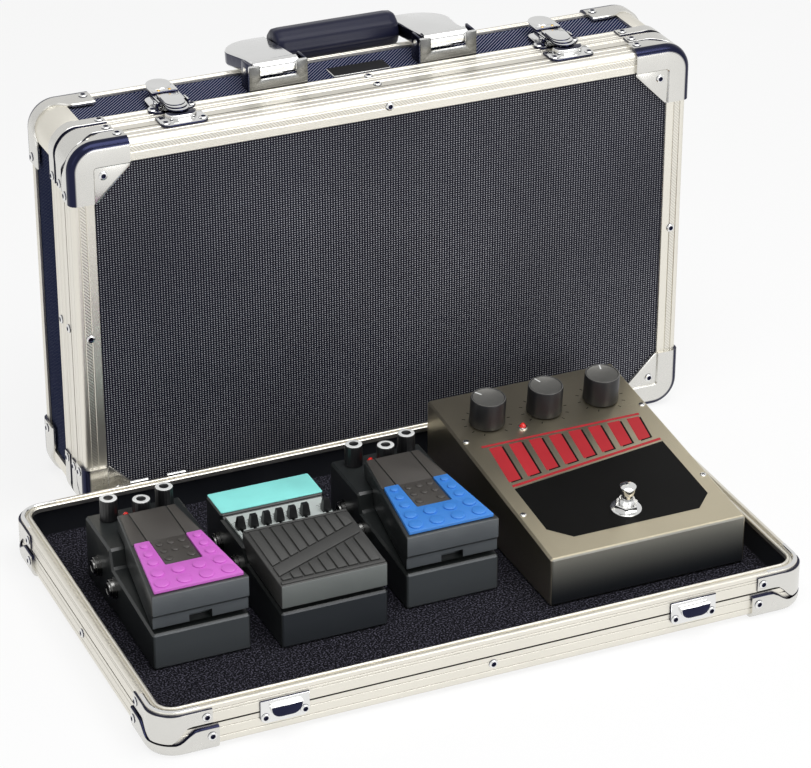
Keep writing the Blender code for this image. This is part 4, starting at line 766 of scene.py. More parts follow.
def turned(profile, steps=24):
    """A turned shape about Z from a profile of radius and height."""
    shape = bmesh.new()
    verts = [shape.verts.new((radius, 0.0, height)) for radius, height in profile]
    edges = [shape.edges.new(pair) for pair in zip(verts, verts[1:])]
    bmesh.ops.spin(
        shape, geom=verts + edges, cent=(0, 0, 0), axis=(0, 0, 1),
        angle=math.tau, steps=steps, use_merge=True,
    )
    return outward(merged(shape))


def pushed(outline, half_x, edge=0.0, edge_steps=3):
    """A side outline in Y and Z pushed out to both sides along X, with rounded edges."""
    shape = bmesh.new()
    shape.faces.new([shape.verts.new((-half_x, y, z)) for y, z in outline])
    drawn = bmesh.ops.extrude_face_region(shape, geom=shape.faces[:])["geom"]
    bmesh.ops.translate(shape, verts=points_of(drawn), vec=(2 * half_x, 0.0, 0.0))
    outward(shape)
    if edge:
        round_off(shape, shape.edges[:], edge, edge_steps)
    return shape


def section_loop(shape, section, place, marks):
    """Draws a closed section; each point keeps the way along it, for the drawn lines, and its marks."""
    marks = dict(marks)
    for name in ("across", *marks):
        shape.verts.layers.float.new(name)
    layers = shape.verts.layers.float
    way = 0.0
    last = section[0]
    verts = []
    for spot in section:
        way += math.dist(last, spot)
        last = spot
        vert = shape.verts.new(place(*spot))
        vert[layers["across"]] = way
        for name, mark in marks.items():
            vert[layers[name]] = float(mark(*spot))
        verts.append(vert)
    return [shape.edges.new((verts[index - 1], verts[index])) for index in range(len(verts))]


def run_straight(shape, edges, vec):
    drawn = bmesh.ops.extrude_edge_only(shape, edges=edges)["geom"]
    bmesh.ops.translate(shape, verts=points_of(drawn), vec=vec)
    return edges_of(drawn)


def run_round(shape, edges, centre, steps):
    verts = list(dict.fromkeys(vert for edge in edges for vert in edge.verts))
    drawn = bmesh.ops.spin(
        shape, geom=verts + edges, cent=(*centre, 0.0), axis=(0, 0, 1), angle=QUARTER_TURN, steps=steps
    )
    return edges_of(drawn["geom_last"])


def edge_run(section, marks=(), steps=10):
    """A drawn edge: a section of inset and height run round the plan of a case half."""
    shape = bmesh.new()
    far_x = PLAN_WIDTH / 2 - CORNER
    far_y = PLAN_LENGTH / 2 - CORNER
    edges = section_loop(
        shape, section, lambda inset, height: (PLAN_WIDTH / 2 - inset, -far_y, height), marks
    )
    sides = (
        ((0.0, 2 * far_y, 0.0), (far_x, far_y)),
        ((-2 * far_x, 0.0, 0.0), (-far_x, far_y)),
        ((0.0, -2 * far_y, 0.0), (-far_x, -far_y)),
        ((2 * far_x, 0.0, 0.0), (far_x, -far_y)),
    )
    for vec, centre in sides:
        edges = run_straight(shape, edges, vec)
        edges = run_round(shape, edges, centre, steps)
    return outward(merged(shape))


def corner_run(section, leg, marks=(), steps=12, leg_steps=6):
    """A corner piece about the middle of its bend: along one leg, round the corner, along the other leg."""
    shape = bmesh.new()
    straight = leg - CORNER
    edges = section_loop(
        shape, section, lambda inset, height: (CORNER - inset, -straight, height), marks
    )
    for _ in range(leg_steps):
        edges = run_straight(shape, edges, (0.0, straight / leg_steps, 0.0))
    edges = run_round(shape, edges, (0.0, 0.0), steps)
    for _ in range(leg_steps):
        edges = run_straight(shape, edges, (-straight / leg_steps, 0.0, 0.0))
    merged(shape)
    bmesh.ops.holes_fill(shape, edges=[edge for edge in shape.edges if edge.is_boundary], sides=0)
    return outward(shape)


def smoothstep(low, high, value):
    share = min(max((value - low) / (high - low), 0.0), 1.0)
    return share * share * (3 - 2 * share)


def nearness(spot, near, far):
    """1 in the middle of a corner piece's bend, 0 far out on its legs."""
    if spot.x > 0 and spot.y > 0:
        way = CORNER * abs(math.atan2(spot.y, spot.x) - math.pi / 4)
    else:
        way = CORNER * math.pi / 4 + max(-spot.x, -spot.y)
    return 1.0 - smoothstep(near, far, way)


def corner_places():
    """Places of the four corners of a case half, each turned so that its legs follow the sides."""
    far_x = PLAN_WIDTH / 2 - CORNER
    far_y = PLAN_LENGTH / 2 - CORNER
    spots = ((far_x, far_y), (-far_x, far_y), (-far_x, -far_y), (far_x, -far_y))
    return [
        Matrix.Translation((x, y, 0.0)) @ Matrix.Rotation(index * QUARTER_TURN, 4, "Z")
        for index, (x, y) in enumerate(spots)
    ]


def at_corners(make):
    """The same corner piece on all four corners."""
    shape = bmesh.new()
    for place in corner_places():
        join(shape, make(), place)
    return shape


# Aluminium edges, caps and brackets

SIGNS = (-1, 1)
SIDES = ("left", "right", "front", "rear")
SHOWN_SIDES = SIDES[:3]

# Corner caps and brackets
CAP_WALL = 15.6 * MM
CAP_DIP = 8.4 * MM
SHELL_CAP_WALL = 21 * MM
SHELL_CAP_DIP = 8 * MM
BRACKET_LEG = 38 * MM

# Rivets, from the ends of a side and from the plane of a case half
CAP_RIVET = 37 * MM
BRACKET_RIVET = 34 * MM
WEB_RIVET = 22.5 * MM
CAP_RIVET_HEIGHT = 9 * MM
BRACKET_RIVET_HEIGHT = 23.4 * MM

# Grooves: depth and width
WALL_GROOVE = (0.45 * MM, 1.1 * MM)
FLANGE_GROOVE = (0.35 * MM, 0.9 * MM)
FLANGE_GROOVES = [4.8 * MM, 9.6 * MM]


def grooved(start, end, spots, fixed, groove, upright):
    """Points of a straight face with small V grooves at given spots, from start to end."""
    depth, width = groove
    ordered = sorted(spots, reverse=end < start)
    turn = 1 if end > start else -1
    points = [(start, fixed)]
    for spot in ordered:
        points += [
            (spot - turn * width / 2, fixed), (spot, fixed + depth), (spot + turn * width / 2, fixed)
        ]
    points.append((end, fixed))
    return [(b, a) for a, b in points] if upright else points


def tray_edge_section():
    """Edge of the tray and the cover: flange, wall with its reeding and seam, grooved rim."""
    depth = TRAY_DEPTH
    spots = [27.0 * MM, 25.0 * MM, 6.0 * MM, 12.6 * MM]
    wall = grooved(depth - 0.9 * MM, 3 * MM, spots, 0.0, WALL_GROOVE, True)
    seam = mm((0, 17.6), (1.2, 17.5), (1.2, 16.5), (0, 16.4))
    upper = [spot for spot in wall if spot[1] > 17.7 * MM]
    lower = [spot for spot in wall if spot[1] < 16.3 * MM]
    flange = grooved(3 * MM, FLANGE - 0.4 * MM, FLANGE_GROOVES, 0.0, FLANGE_GROOVE, False)
    return (
        [(1.6 * MM, 1.2 * MM), (1.6 * MM, depth - 4 * MM), (7.2 * MM, depth - 4 * MM)]
        + [(7.5 * MM, depth - 3.6 * MM), (7.5 * MM, depth - 0.7 * MM), (6.9 * MM, depth - 0.1 * MM)]
        + [(6.2 * MM, depth), (5.6 * MM, depth - 0.2 * MM), (5.2 * MM, depth - 0.7 * MM)]
        + [(5.2 * MM, depth - 2 * MM), (3.0 * MM, depth - 2 * MM), (3.0 * MM, depth - 0.5 * MM)]
        + [(2.6 * MM, depth - 0.1 * MM), (1.6 * MM, depth), (0.5 * MM, depth - 0.25 * MM)]
        + upper + seam + lower
        + mm((0.25, 1.9), (0.9, 0.9), (1.9, 0.25))
        + flange
        + [(FLANGE, 0.4 * MM), (FLANGE, 1.2 * MM)]
    )


def shell_rim_section():
    """Rim of the deep half, with its tongue, measured from the split."""
    wall = grooved(0.6 * MM, RIM_BAND, [3.0 * MM, 8.6 * MM, 10.8 * MM], 0.0, WALL_GROOVE, True)
    tip = FIT_GAP - TONGUE
    return (
        [(1.6 * MM, RIM_BAND), (1.6 * MM, 4 * MM), (7.5 * MM, 4 * MM), (7.5 * MM, FIT_GAP)]
        + [(4.8 * MM, FIT_GAP), (4.8 * MM, tip), (3.4 * MM, tip), (3.4 * MM, FIT_GAP)]
        + [(0.6 * MM, FIT_GAP)] + wall
    )


def shell_back_section():
    """Back edge of the deep half, measured from the split."""
    depth = SHELL_DEPTH
    low = depth - BACK_BAND
    wall = grooved(low, depth - 3 * MM, [low + 1.8 * MM, low + 4 * MM], 0.0, WALL_GROOVE, True)
    rise, width = FLANGE_GROOVE
    flange = grooved(3 * MM, FLANGE - 0.4 * MM, FLANGE_GROOVES, depth, (-rise, width), False)
    return (
        [(FLANGE, depth - 1.2 * MM), (1.6 * MM, depth - 1.2 * MM), (1.6 * MM, low)]
        + wall
        + [(0.25 * MM, depth - 1.9 * MM), (0.9 * MM, depth - 0.9 * MM), (1.9 * MM, depth - 0.25 * MM)]
        + flange
        + [(FLANGE, depth - 0.4 * MM)]
    )


def tray_hatched(inset, height):
    """True on the hatched strip of the flange."""
    return height < 0.1 * MM and 5.2 * MM < inset < 9.2 * MM


def tray_joints_and_groove_shade(inset, height):
    """Depth of the dark lines on the tray edge: full in the seam, and half as painted shade in the grooves.
    """
    if inset > 1.0 * MM and 16 * MM < height < 18 * MM:
        return 1.0
    return 0.5 if 0.3 * MM < inset < 0.6 * MM and 4 * MM < height < 28 * MM else 0.0


def cover_joints_and_groove_shade(inset, height):
    """The same dark seam and painted groove shade on the cover, and the closed split."""
    split = inset < 1.7 * MM and height > TRAY_DEPTH - 0.5 * MM
    return 0.8 if split else tray_joints_and_groove_shade(inset, height)


def shell_groove_shade(inset, height):
    """Painted shade in the grooves on the edges of the deep half."""
    return 0.5 if 0.3 * MM < inset < 0.6 * MM and height > 1.0 * MM else 0.0


def tray_cap_reflecting_rim(inset, height):
    """True on the upper edge of a tray cap, which gets a painted dark reflection."""
    return height > 14.5 * MM


def cap_reflecting_edge(inset, height):
    """True on the rolled edge of a cap, between its wall and its face, which gets a painted dark reflection.
    """
    return inset < 2.0 * MM and -2.0 * MM < height < 3.2 * MM


def cap_section(wall):
    """Pressed corner cap: its wall, its rounded edge and the part that lies on the flange."""
    return [
        (0.0, 3.0 * MM), (0.0, wall), (-1.4 * MM, wall), (-2.1 * MM, wall - 0.7 * MM),
        (-2.2 * MM, wall - 1.7 * MM), (-2.25 * MM, 5.0 * MM),
        (-2.1 * MM, 3.0 * MM), (-1.5 * MM, 0.9 * MM), (-0.4 * MM, -0.8 * MM), (1.4 * MM, -1.9 * MM),
        (3.8 * MM, -2.3 * MM), (15.4 * MM, -2.3 * MM), (16.2 * MM, -1.6 * MM), (16.2 * MM, 0.0),
        (3.2 * MM, 0.0), (1.0 * MM, 0.8 * MM),
    ]


def corner_cap(wall, dip, reflecting):
    """A cap whose wall dips round the bend, with the web that fills its inner corner."""
    # The mark places a painted dark reflection on the cap's edge.
    shape = corner_run(cap_section(wall), CAP_LEG, {"reflection_mark": reflecting})
    foot = 4.0 * MM
    for vert in shape.verts:
        if vert.co.z > foot:
            share = (vert.co.z - foot) / (wall - foot)
            vert.co.z -= dip * share * nearness(vert.co, 9 * MM, 24 * MM)
    inner = CORNER - FLANGE + 1.0 * MM
    tip = CORNER - CAP_LEG
    outline = [(inner, inner), (tip, inner), (tip, inner - 3 * MM), (inner - 3 * MM, tip), (inner, tip)]
    join(shape, plate(outline, 1.4 * MM, -1.3 * MM, edge=0.4 * MM))
    return shape


def corner_bracket(low, high, leg, drop):
    """A thin bracket along the rim whose bend is pulled down and out over the corner."""
    section = [
        (0.0, low), (-0.9 * MM, low), (-1.3 * MM, low + 0.5 * MM), (-1.3 * MM, high - 0.5 * MM),
        (-0.9 * MM, high), (0.0, high),
    ]
    # Painted dark reflection along the bracket's rolled edges.
    shape = corner_run(section, leg, {"reflection_mark": lambda inset, height: -1.2 * MM < inset})
    middle = (low + high) / 2
    for vert in shape.verts:
        near = nearness(vert.co, 6 * MM, 19 * MM)
        if vert.co.z < middle:
            vert.co.z -= drop * near
        out = Vector((vert.co.x, vert.co.y, 0.0))
        if vert.co.x > 0 and vert.co.y > 0 and out.length > CORNER + 0.4 * MM:
            vert.co += out.normalized() * 0.7 * MM * near
    return shape


def rivet_shape():
    """Hollow rivet: a rolled ring round a small hole; the hole gets painted shade and the foot a painted
    dark reflection.
    """
    radius = case_looks().rivet_radius
    profile = [
        (0.0, 0.2 * MM), (0.28 * radius, 0.2 * MM), (0.36 * radius, 0.9 * MM),
        (0.56 * radius, 1.15 * MM), (0.82 * radius, 0.95 * MM), (0.98 * radius, 0.45 * MM),
        (radius, -0.2 * MM), (0.0, -0.2 * MM),
    ]
    shape = turned(profile, steps=14)
    # Painted shade in the hole and painted dark reflection on the foot.
    for face in shape.faces:
        middle = face.calc_center_median()
        if not 0.5 < math.hypot(middle.x, middle.y) / radius < 0.92:
            face.material_index = 1
    return shape


def rivet_row(spots):
    """Rivets at given places; a spot is a point and the way it faces, in the frame of its case half."""
    shape = bmesh.new()
    for spot, facing in spots:
        turn = Vector((0, 0, 1)).rotation_difference(Vector(facing)).to_matrix().to_4x4()
        join(shape, rivet_shape(), Matrix.Translation(spot) @ turn)
    return shape


def wall_spot(side, along, height, out=0.0):
    """A point on a wall of a case half, and the way that the wall faces."""
    if side in ("left", "right"):
        sign = 1 if side == "right" else -1
        return (sign * (PLAN_WIDTH / 2 + out), along, height), (sign, 0, 0)
    sign = 1 if side == "rear" else -1
    return (along, sign * (PLAN_LENGTH / 2 + out), height), (0, sign, 0)


def half_rivets(cap_height, bracket_height, middle_height, sides):
    """Rivets of one case half: two on each leg of the corners and one in the middle of each side."""
    spots = []
    for side in sides:
        reach = PLAN_LENGTH / 2 if side in ("left", "right") else PLAN_WIDTH / 2
        spots.append(wall_spot(side, 0.0, middle_height))
        for sign in SIGNS:
            spots.append(wall_spot(side, sign * (reach - CAP_RIVET), cap_height, out=2.2 * MM))
            spots.append(wall_spot(side, sign * (reach - BRACKET_RIVET), bracket_height, out=1.2 * MM))
    return spots


def face_rivets(height, facing):
    """Rivets on the webs of the caps."""
    x = PLAN_WIDTH / 2 - WEB_RIVET
    y = PLAN_LENGTH / 2 - WEB_RIVET
    return [((sign_x * x, sign_y * y, height), (0, 0, facing)) for sign_x in SIGNS for sign_y in SIGNS]


def make_edges():
    """Drawn edges, caps, brackets and corner strips of the tray, the cover and the deep half."""
    halves = (
        ("tray", TRAY_PLACE, tray_joints_and_groove_shade, tray_cap_reflecting_rim),
        ("cover", COVER_PLACE, cover_joints_and_groove_shade, cap_reflecting_edge),
    )
    for name, place, lines, reflecting in halves:
        edge = edge_run(tray_edge_section(), {"hatch": tray_hatched, "lines": lines})
        new_piece(
            name + "_edge", edge, place, ["drawn_aluminium"], name,
            stands_for=[name + "_frame"], sharp=25,
        )
        caps = at_corners(lambda: corner_cap(CAP_WALL, CAP_DIP, reflecting))
        new_piece(name + "_caps", caps, place, ["pressed_cap"], name)
        brackets = at_corners(lambda: corner_bracket(18.2 * MM, 28.6 * MM, BRACKET_LEG, 10.4 * MM))
        new_piece(name + "_brackets", brackets, place, ["pressed_cap"], name)
    top = TRAY_DEPTH
    rim_strip = [
        (0.3 * MM, top - 0.4 * MM), (0.2 * MM, top - 0.3 * MM), (1.5 * MM, top + 0.25 * MM),
        (2.7 * MM, top + 0.15 * MM), (3.2 * MM, top - 0.4 * MM), (3.2 * MM, top - 1.8 * MM),
        (2.9 * MM, top - 1.8 * MM), (2.6 * MM, top - 0.2 * MM),
    ]
    corners = at_corners(lambda: corner_run(rim_strip, 30 * MM))
    new_piece("tray_rim_corners", corners, TRAY_PLACE, ["bright_chrome"], "tray")
    for name, section in (("rim", shell_rim_section()), ("back", shell_back_section())):
        edge = edge_run(section, {"lines": shell_groove_shade})
        node = f"shell_{name}_frame"
        new_piece(
            f"shell_{name}_edge", edge, SHELL_PLACE, ["drawn_aluminium"], "shell",
            stands_for=[node], sharp=25,
        )
    low, high = RIM_BAND + 0.1 * MM, SHELL_DEPTH - BACK_BAND + 0.4 * MM
    strip = [
        (1.6 * MM, low), (0.0, low), (-0.3 * MM, low + 0.4 * MM), (-0.3 * MM, high), (1.6 * MM, high)
    ]
    strips = at_corners(lambda: corner_run(strip, 22 * MM))
    new_piece("shell_corner_strips", strips, SHELL_PLACE, ["drawn_aluminium"], "shell")
    brackets = at_corners(lambda: corner_bracket(1.6 * MM, 11.8 * MM, BRACKET_LEG, 0.0))
    new_piece("shell_brackets", brackets, SHELL_PLACE, ["pressed_cap"], "shell")
    caps = at_corners(lambda: corner_cap(SHELL_CAP_WALL, SHELL_CAP_DIP, cap_reflecting_edge))
    back = SHELL_PLACE @ Matrix.Translation((0, 0, SHELL_DEPTH)) @ Matrix.Rotation(math.pi, 4, "X")
    new_piece("shell_caps", caps, back, ["pressed_cap"], "shell")


def make_rivets():
    """Hollow rivets of the tray, the cover and the deep half; none stands below the floor."""
    tray = half_rivets(CAP_RIVET_HEIGHT, BRACKET_RIVET_HEIGHT, 11 * MM, SIDES)
    cover = half_rivets(CAP_RIVET_HEIGHT, BRACKET_RIVET_HEIGHT, 22 * MM, SHOWN_SIDES)
    cover += face_rivets(-1.2 * MM, -1)
    for side in SHOWN_SIDES:
        spot, facing = wall_spot(side, 0.0, 0.0)
        inward = Vector(facing) * 8.5 * MM
        cover.append((Vector(spot) - inward, (0, 0, -1)))
    shell = half_rivets(SHELL_DEPTH - CAP_RIVET_HEIGHT, 6.6 * MM, 6.6 * MM, SHOWN_SIDES)
    shell += face_rivets(SHELL_DEPTH + 1.2 * MM, 1)
    finishes = ["bright_chrome", "shaded_chrome"]
    halves = (("tray", tray, TRAY_PLACE), ("cover", cover, COVER_PLACE), ("shell", shell, SHELL_PLACE))
    for name, spots, place in halves:
        new_piece(name + "_rivets", rivet_row(spots), place, finishes, name)


def make_boards():
    """Woven-look finish of the boards."""
    dress("tray_panel", "front_cover")
    dress("cover_panel", "front_cover")
    dress("shell_box", "side_cover")


def make_lining():
    """Fleece floor with its pile, and smooth walls round it."""
    low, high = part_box("tray_lining")
    floor_top = low.z + 2.0 * MM
    inset = 3.0 * MM
    width = high.x - low.x - 2 * inset
    length = high.y - low.y - 2 * inset
    floor = bmesh.new()
    bmesh.ops.create_grid(floor, x_segments=300, y_segments=184, size=0.5)
    bmesh.ops.scale(floor, verts=floor.verts[:], vec=(width, length, 1.0))
    middle = (low + high) / 2
    bmesh.ops.translate(floor, verts=floor.verts[:], vec=(middle.x, middle.y, floor_top))
    for vert in floor.verts:
        pile = noise.noise(vert.co * 700.0) * 0.28 * MM
        vert.co.z += min(pile, 0.2 * MM)
    piece = new_piece(
        "tray_fleece_floor", floor, Matrix(), ["fleece_floor"], "tray",
        stands_for=["tray_lining"], sharp=180,
    )
    base = low.z - TRAY_LOW.z - CAP
    top = high.z - TRAY_LOW.z - CAP
    section = [
        (5.9 * MM, base), (1.9 * MM, base), (1.9 * MM, top - 0.6 * MM), (2.5 * MM, top),
        (5.2 * MM, top), (5.9 * MM, top - 0.7 * MM), (5.9 * MM, base + 3.4 * MM),
        (6.6 * MM, base + 2.2 * MM), (6.6 * MM, base),
    ]
    walls = edge_run(section)
    new_piece("tray_lining_walls", walls, TRAY_PLACE, ["wall_vinyl"], "tray")


# Latches, hinges and handle

def arc(centre, radius, start, end, steps):
    """Points along an arc, angles in degrees."""
    points = []
    for index in range(steps + 1):
        angle = math.radians(start + (end - start) * index / steps)
        points.append((centre[0] + radius * math.cos(angle), centre[1] + radius * math.sin(angle)))
    return points


# Bright chrome, the painted dark reflection for upright faces, and the brass of the dots.
LATCH_FINISHES = ["bright_chrome", "shaded_chrome", "brass_dots"]


def shade_sides(shape):
    """Gives the upright faces of a plated piece the second finish, a painted dark reflection."""
    for face in shape.faces:
        if abs(face.normal.z) < 0.5:
            face.material_index = 1
    return shape


def keeper_shape():
    """Riveted keeper with its half-round lip; Y runs from the split, Z out of the wall."""
    outline = (
        arc((12 * MM, -18 * MM), 5 * MM, 0, -90, 5)
        + arc((-12 * MM, -18 * MM), 5 * MM, -90, -180, 5)
        + mm((-17, -6), (17, -6))
    )
    shape = shade_sides(plate(outline, 0.2 * MM, 1.5 * MM, edge=0.5 * MM))
    lip = (
        arc((4 * MM, -11 * MM), 7 * MM, 0, -90, 6)
        + arc((-4 * MM, -11 * MM), 7 * MM, -90, -180, 6)
        + mm((-11, -9.5), (11, -9.5))
    )
    hook_lip = plate(lip, 0.8 * MM, 5.4 * MM, edge=0.9 * MM, edge_steps=3)
    # Painted dark reflection on the lip's outer face.
    for face in hook_lip.faces:
        face.material_index = int(face.normal.z > 0.9)
    join(shape, hook_lip)
    for sign in SIGNS:
        join(shape, rivet_shape(), Matrix.Translation((sign * 13.6 * MM, -18.4 * MM, 1.4 * MM)))
    return shape


def latch_place(side):
    """Place of a latch on the top of the case."""
    low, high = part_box("latch_base_" + side)
    return Matrix.Translation(((low.x + high.x) / 2, SPLIT_Y, CASE_Z + PLAN_LENGTH / 2))


def tray_keeper_place(node):
    low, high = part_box(node)
    front = TRAY_LOW.y + CAP
    spot = Matrix.Translation(((low.x + high.x) / 2, front, TRAY_HIGH.z))
    return spot @ Matrix.Rotation(QUARTER_TURN, 4, "X")


def latch_base_shape():
    """Two-lobed base plate with its ears and rivets."""
    outline = (
        arc((10.5 * MM, 8 * MM), 6.5 * MM, -90, 60, 6)
        + arc((7.5 * MM, 24 * MM), 6 * MM, 0, 90, 5)
        + arc((-7.5 * MM, 24 * MM), 6 * MM, 90, 180, 5)
        + arc((-10.5 * MM, 8 * MM), 6.5 * MM, 120, 270, 6)
    )
    shape = shade_sides(plate(outline, 0.2 * MM, 1.6 * MM, edge=0.5 * MM))
    for sign in SIGNS:
        left, right = sorted((sign * 10.4 * MM, sign * 11.8 * MM))
        ear = block((left, 4 * MM, 0.8 * MM), (right, 12 * MM, 6.9 * MM), edge=0.5 * MM)
        join(shape, shade_sides(ear))
        join(shape, rivet_shape(), Matrix.Translation((sign * 14.2 * MM, 6.6 * MM, 1.5 * MM)))
        pin = turned(mm((0, 0), (1.6, 0), (1.6, 0.5), (1.0, 0.8), (0, 0.8)), steps=12)
        turn = Matrix.Rotation(sign * QUARTER_TURN, 4, "Y")
        join(shape, pin, Matrix.Translation((sign * 11.7 * MM, 8 * MM, 5 * MM)) @ turn)
    return shape


def latch_lever_shape():
    """Lever with cheeks, a crowned plate, two brass dots and a round dished thumb pad."""
    crown = plate(
        rectangle(9.8 * MM, 19.6 * MM, 33 * MM), 6.3 * MM, 8.2 * MM, corner=1.0 * MM, steps=3, edge=0.6 * MM
    )
    shape = shade_sides(crown)
    tongue = plate(
        rectangle(8.6 * MM, 19.9 * MM, 24.6 * MM), 7.7 * MM, 8.5 * MM, corner=1.2 * MM, steps=4,
        edge=0.4 * MM,
    )
    join(shape, shade_sides(tongue))
    for sign in SIGNS:
        left, right = sorted((sign * 8.3 * MM, sign * 9.9 * MM))
        cheek = block((left, 6.2 * MM, 3.2 * MM), (right, 23.5 * MM, 7.0 * MM), edge=0.6 * MM)
        join(shape, shade_sides(cheek))
        dot = turned(mm((0, 0.5), (0.9, 0.4), (1.3, 0.0), (1.3, -0.4), (0, -0.4)), steps=12)
        join(shape, paint(dot, 2), Matrix.Translation((sign * 4 * MM, 22 * MM, 8.5 * MM)))
    profile = mm((0, 8.3), (5.5, 8.4), (7.6, 8.8), (8.6, 8.7), (9, 8.1), (8.6, 7.2), (0, 7.0))
    pad = turned(profile, steps=28)
    join(shape, shade_sides(pad), Matrix.Translation((0, 34 * MM, 0)))
    return shape


def latch_hook_shape():
    """Hook strap with its eye and a rounded nose in two steps."""
    strap = arc((0, -5 * MM), 8 * MM, 180, 360, 14) + mm((8, 15), (-8, 15))
    shape = shade_sides(plate(strap, 5.8 * MM, 7.0 * MM, edge=0.4 * MM))
    for radius, middle, rear, top in ((7.6, -2.6, 17.0, 8.0), (7.2, 0.4, 11.0, 8.7)):
        step = arc((0, middle * MM), radius * MM, 180, 360, 12)
        step += [(radius * MM, rear * MM), (-radius * MM, rear * MM)]
        join(shape, shade_sides(plate(step, 6.8 * MM, top * MM, edge=0.4 * MM)))
    eye = turned(mm((0, -6.4), (2, -6.4), (2, 6.4), (0, 6.4)), steps=14)
    join(shape, eye, Matrix.Translation((0, 15 * MM, 5 * MM)) @ Matrix.Rotation(QUARTER_TURN, 4, "Y"))
    return shape


def make_latches():
    """Keepers, latch bases, levers and hooks."""
    for side in ("left", "right"):
        node = "tray_keeper_" + side
        place = tray_keeper_place(node)
        new_piece(
            node + "_plate", keeper_shape(), place, LATCH_FINISHES[:2], "tray", stands_for=[node]
        )
    for side in ("left", "right"):
        place = latch_place(side)
        makers = (
            ("cover_keeper_" + side, keeper_shape, "cover"),
            ("latch_base_" + side, latch_base_shape, "shell"),
            ("latch_lever_" + side, latch_lever_shape, "latch_lever_" + side),
            ("latch_hook_" + side, latch_hook_shape, "latch_hook_" + side),
        )
        for node, make, body in makers:
            new_piece(node + "_plate", make(), place, LATCH_FINISHES, body, stands_for=[node])


def make_hinges():
    """Finish of the hinge leaves."""
    for half in ("tray", "cover", "shell"):
        for side in ("left", "right"):
            dress(f"{half}_hinge_{side}", "bright_chrome")


def handle_place():
    """Middle of the line of the handle's pins."""
    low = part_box("handle_bracket_left")[0]
    return Matrix.Translation((CASE_X, low.y + 8.5 * MM, CASE_Z + PLAN_LENGTH / 2 + 12.5 * MM))


def arm_shape(sign):
    """Flat arm from its barrel on the pin round to the grip."""
    outline = (
        mm((48, 0), (82, 0), (82, 12.4))
        + arc((60 * MM, 37.5 * MM), 26 * MM, 0, 90, 12)
        + mm((47.3, 63.5), (47.3, 36.5))
    )
    shape = plate([(sign * x, y) for x, y in outline], -5.5 * MM, 5.5 * MM)
    rims = [edge for edge in shape.edges if abs(edge.verts[0].co.z - edge.verts[1].co.z) < 0.1 * MM]
    round_off(shape, rims, 2.2 * MM, 4)
    return shade_sides(shape)


def bracket_shape(middle):
    """Upright plate with a window in front of the barrel, a foot and two cheeks."""
    floor = -14.1 * MM
    upright = [(-22 * MM, floor), (22 * MM, floor)]
    upright += mm((22, 5.5), (13.5, 5.5), (13.5, -5), (-13.5, -5), (-13.5, 5.5), (-22, 5.5))
    front = plate(upright, 0.0, 2 * MM, corner=0.8 * MM, steps=3, edge=0.5 * MM)
    # Painted shade and dark reflection: the front face of the plate gets the grey chrome.
    for face in front.faces:
        face.material_index = 1 if face.normal.z > 0.9 else 0
    shape = bmesh.new()
    join(shape, front, Matrix.Translation((0, -6.5 * MM, 0)) @ Matrix.Rotation(QUARTER_TURN, 4, "X"))
    join(shape, block((-20 * MM, -6.6 * MM, floor), (20 * MM, 7.5 * MM, floor + 2 * MM), edge=0.5 * MM))
    for sign in SIGNS:
        left, right = sorted((sign * 20 * MM, sign * 21.9 * MM))
        cheek = block((left, -6.7 * MM, floor), (right, 7.5 * MM, 5.4 * MM), edge=0.5 * MM)
        # Painted dark reflection on the cheeks.
        join(shape, paint(cheek, 2))
    shape.transform(Matrix.Translation((middle, 0, 0)))
    return shape


def grip_shape():
    """Moulded grip with soft lengthwise ribs and rounded ends."""
    half = 46.8 * MM
    ribs = 9
    profile = [
        (4.8 * MM, half), (11.4 * MM, half), (12.6 * MM, half - 1.4 * MM), (13.1 * MM, half - 6 * MM),
        (13.2 * MM, 0), (13.1 * MM, 6 * MM - half), (12.6 * MM, 1.4 * MM - half), (11.4 * MM, -half),
        (4.8 * MM, -half),
    ]
    shape = turned(profile, steps=8 * ribs)
    for vert in shape.verts:
        angle = math.atan2(vert.co.y, vert.co.x)
        swell = 1.0 + 0.018 * math.cos(ribs * angle)
        vert.co.x *= swell
        vert.co.y *= swell
    shape.transform(Matrix.Translation((0, HANDLE_REACH, 0)) @ Matrix.Rotation(QUARTER_TURN, 4, "Y"))
    return shape


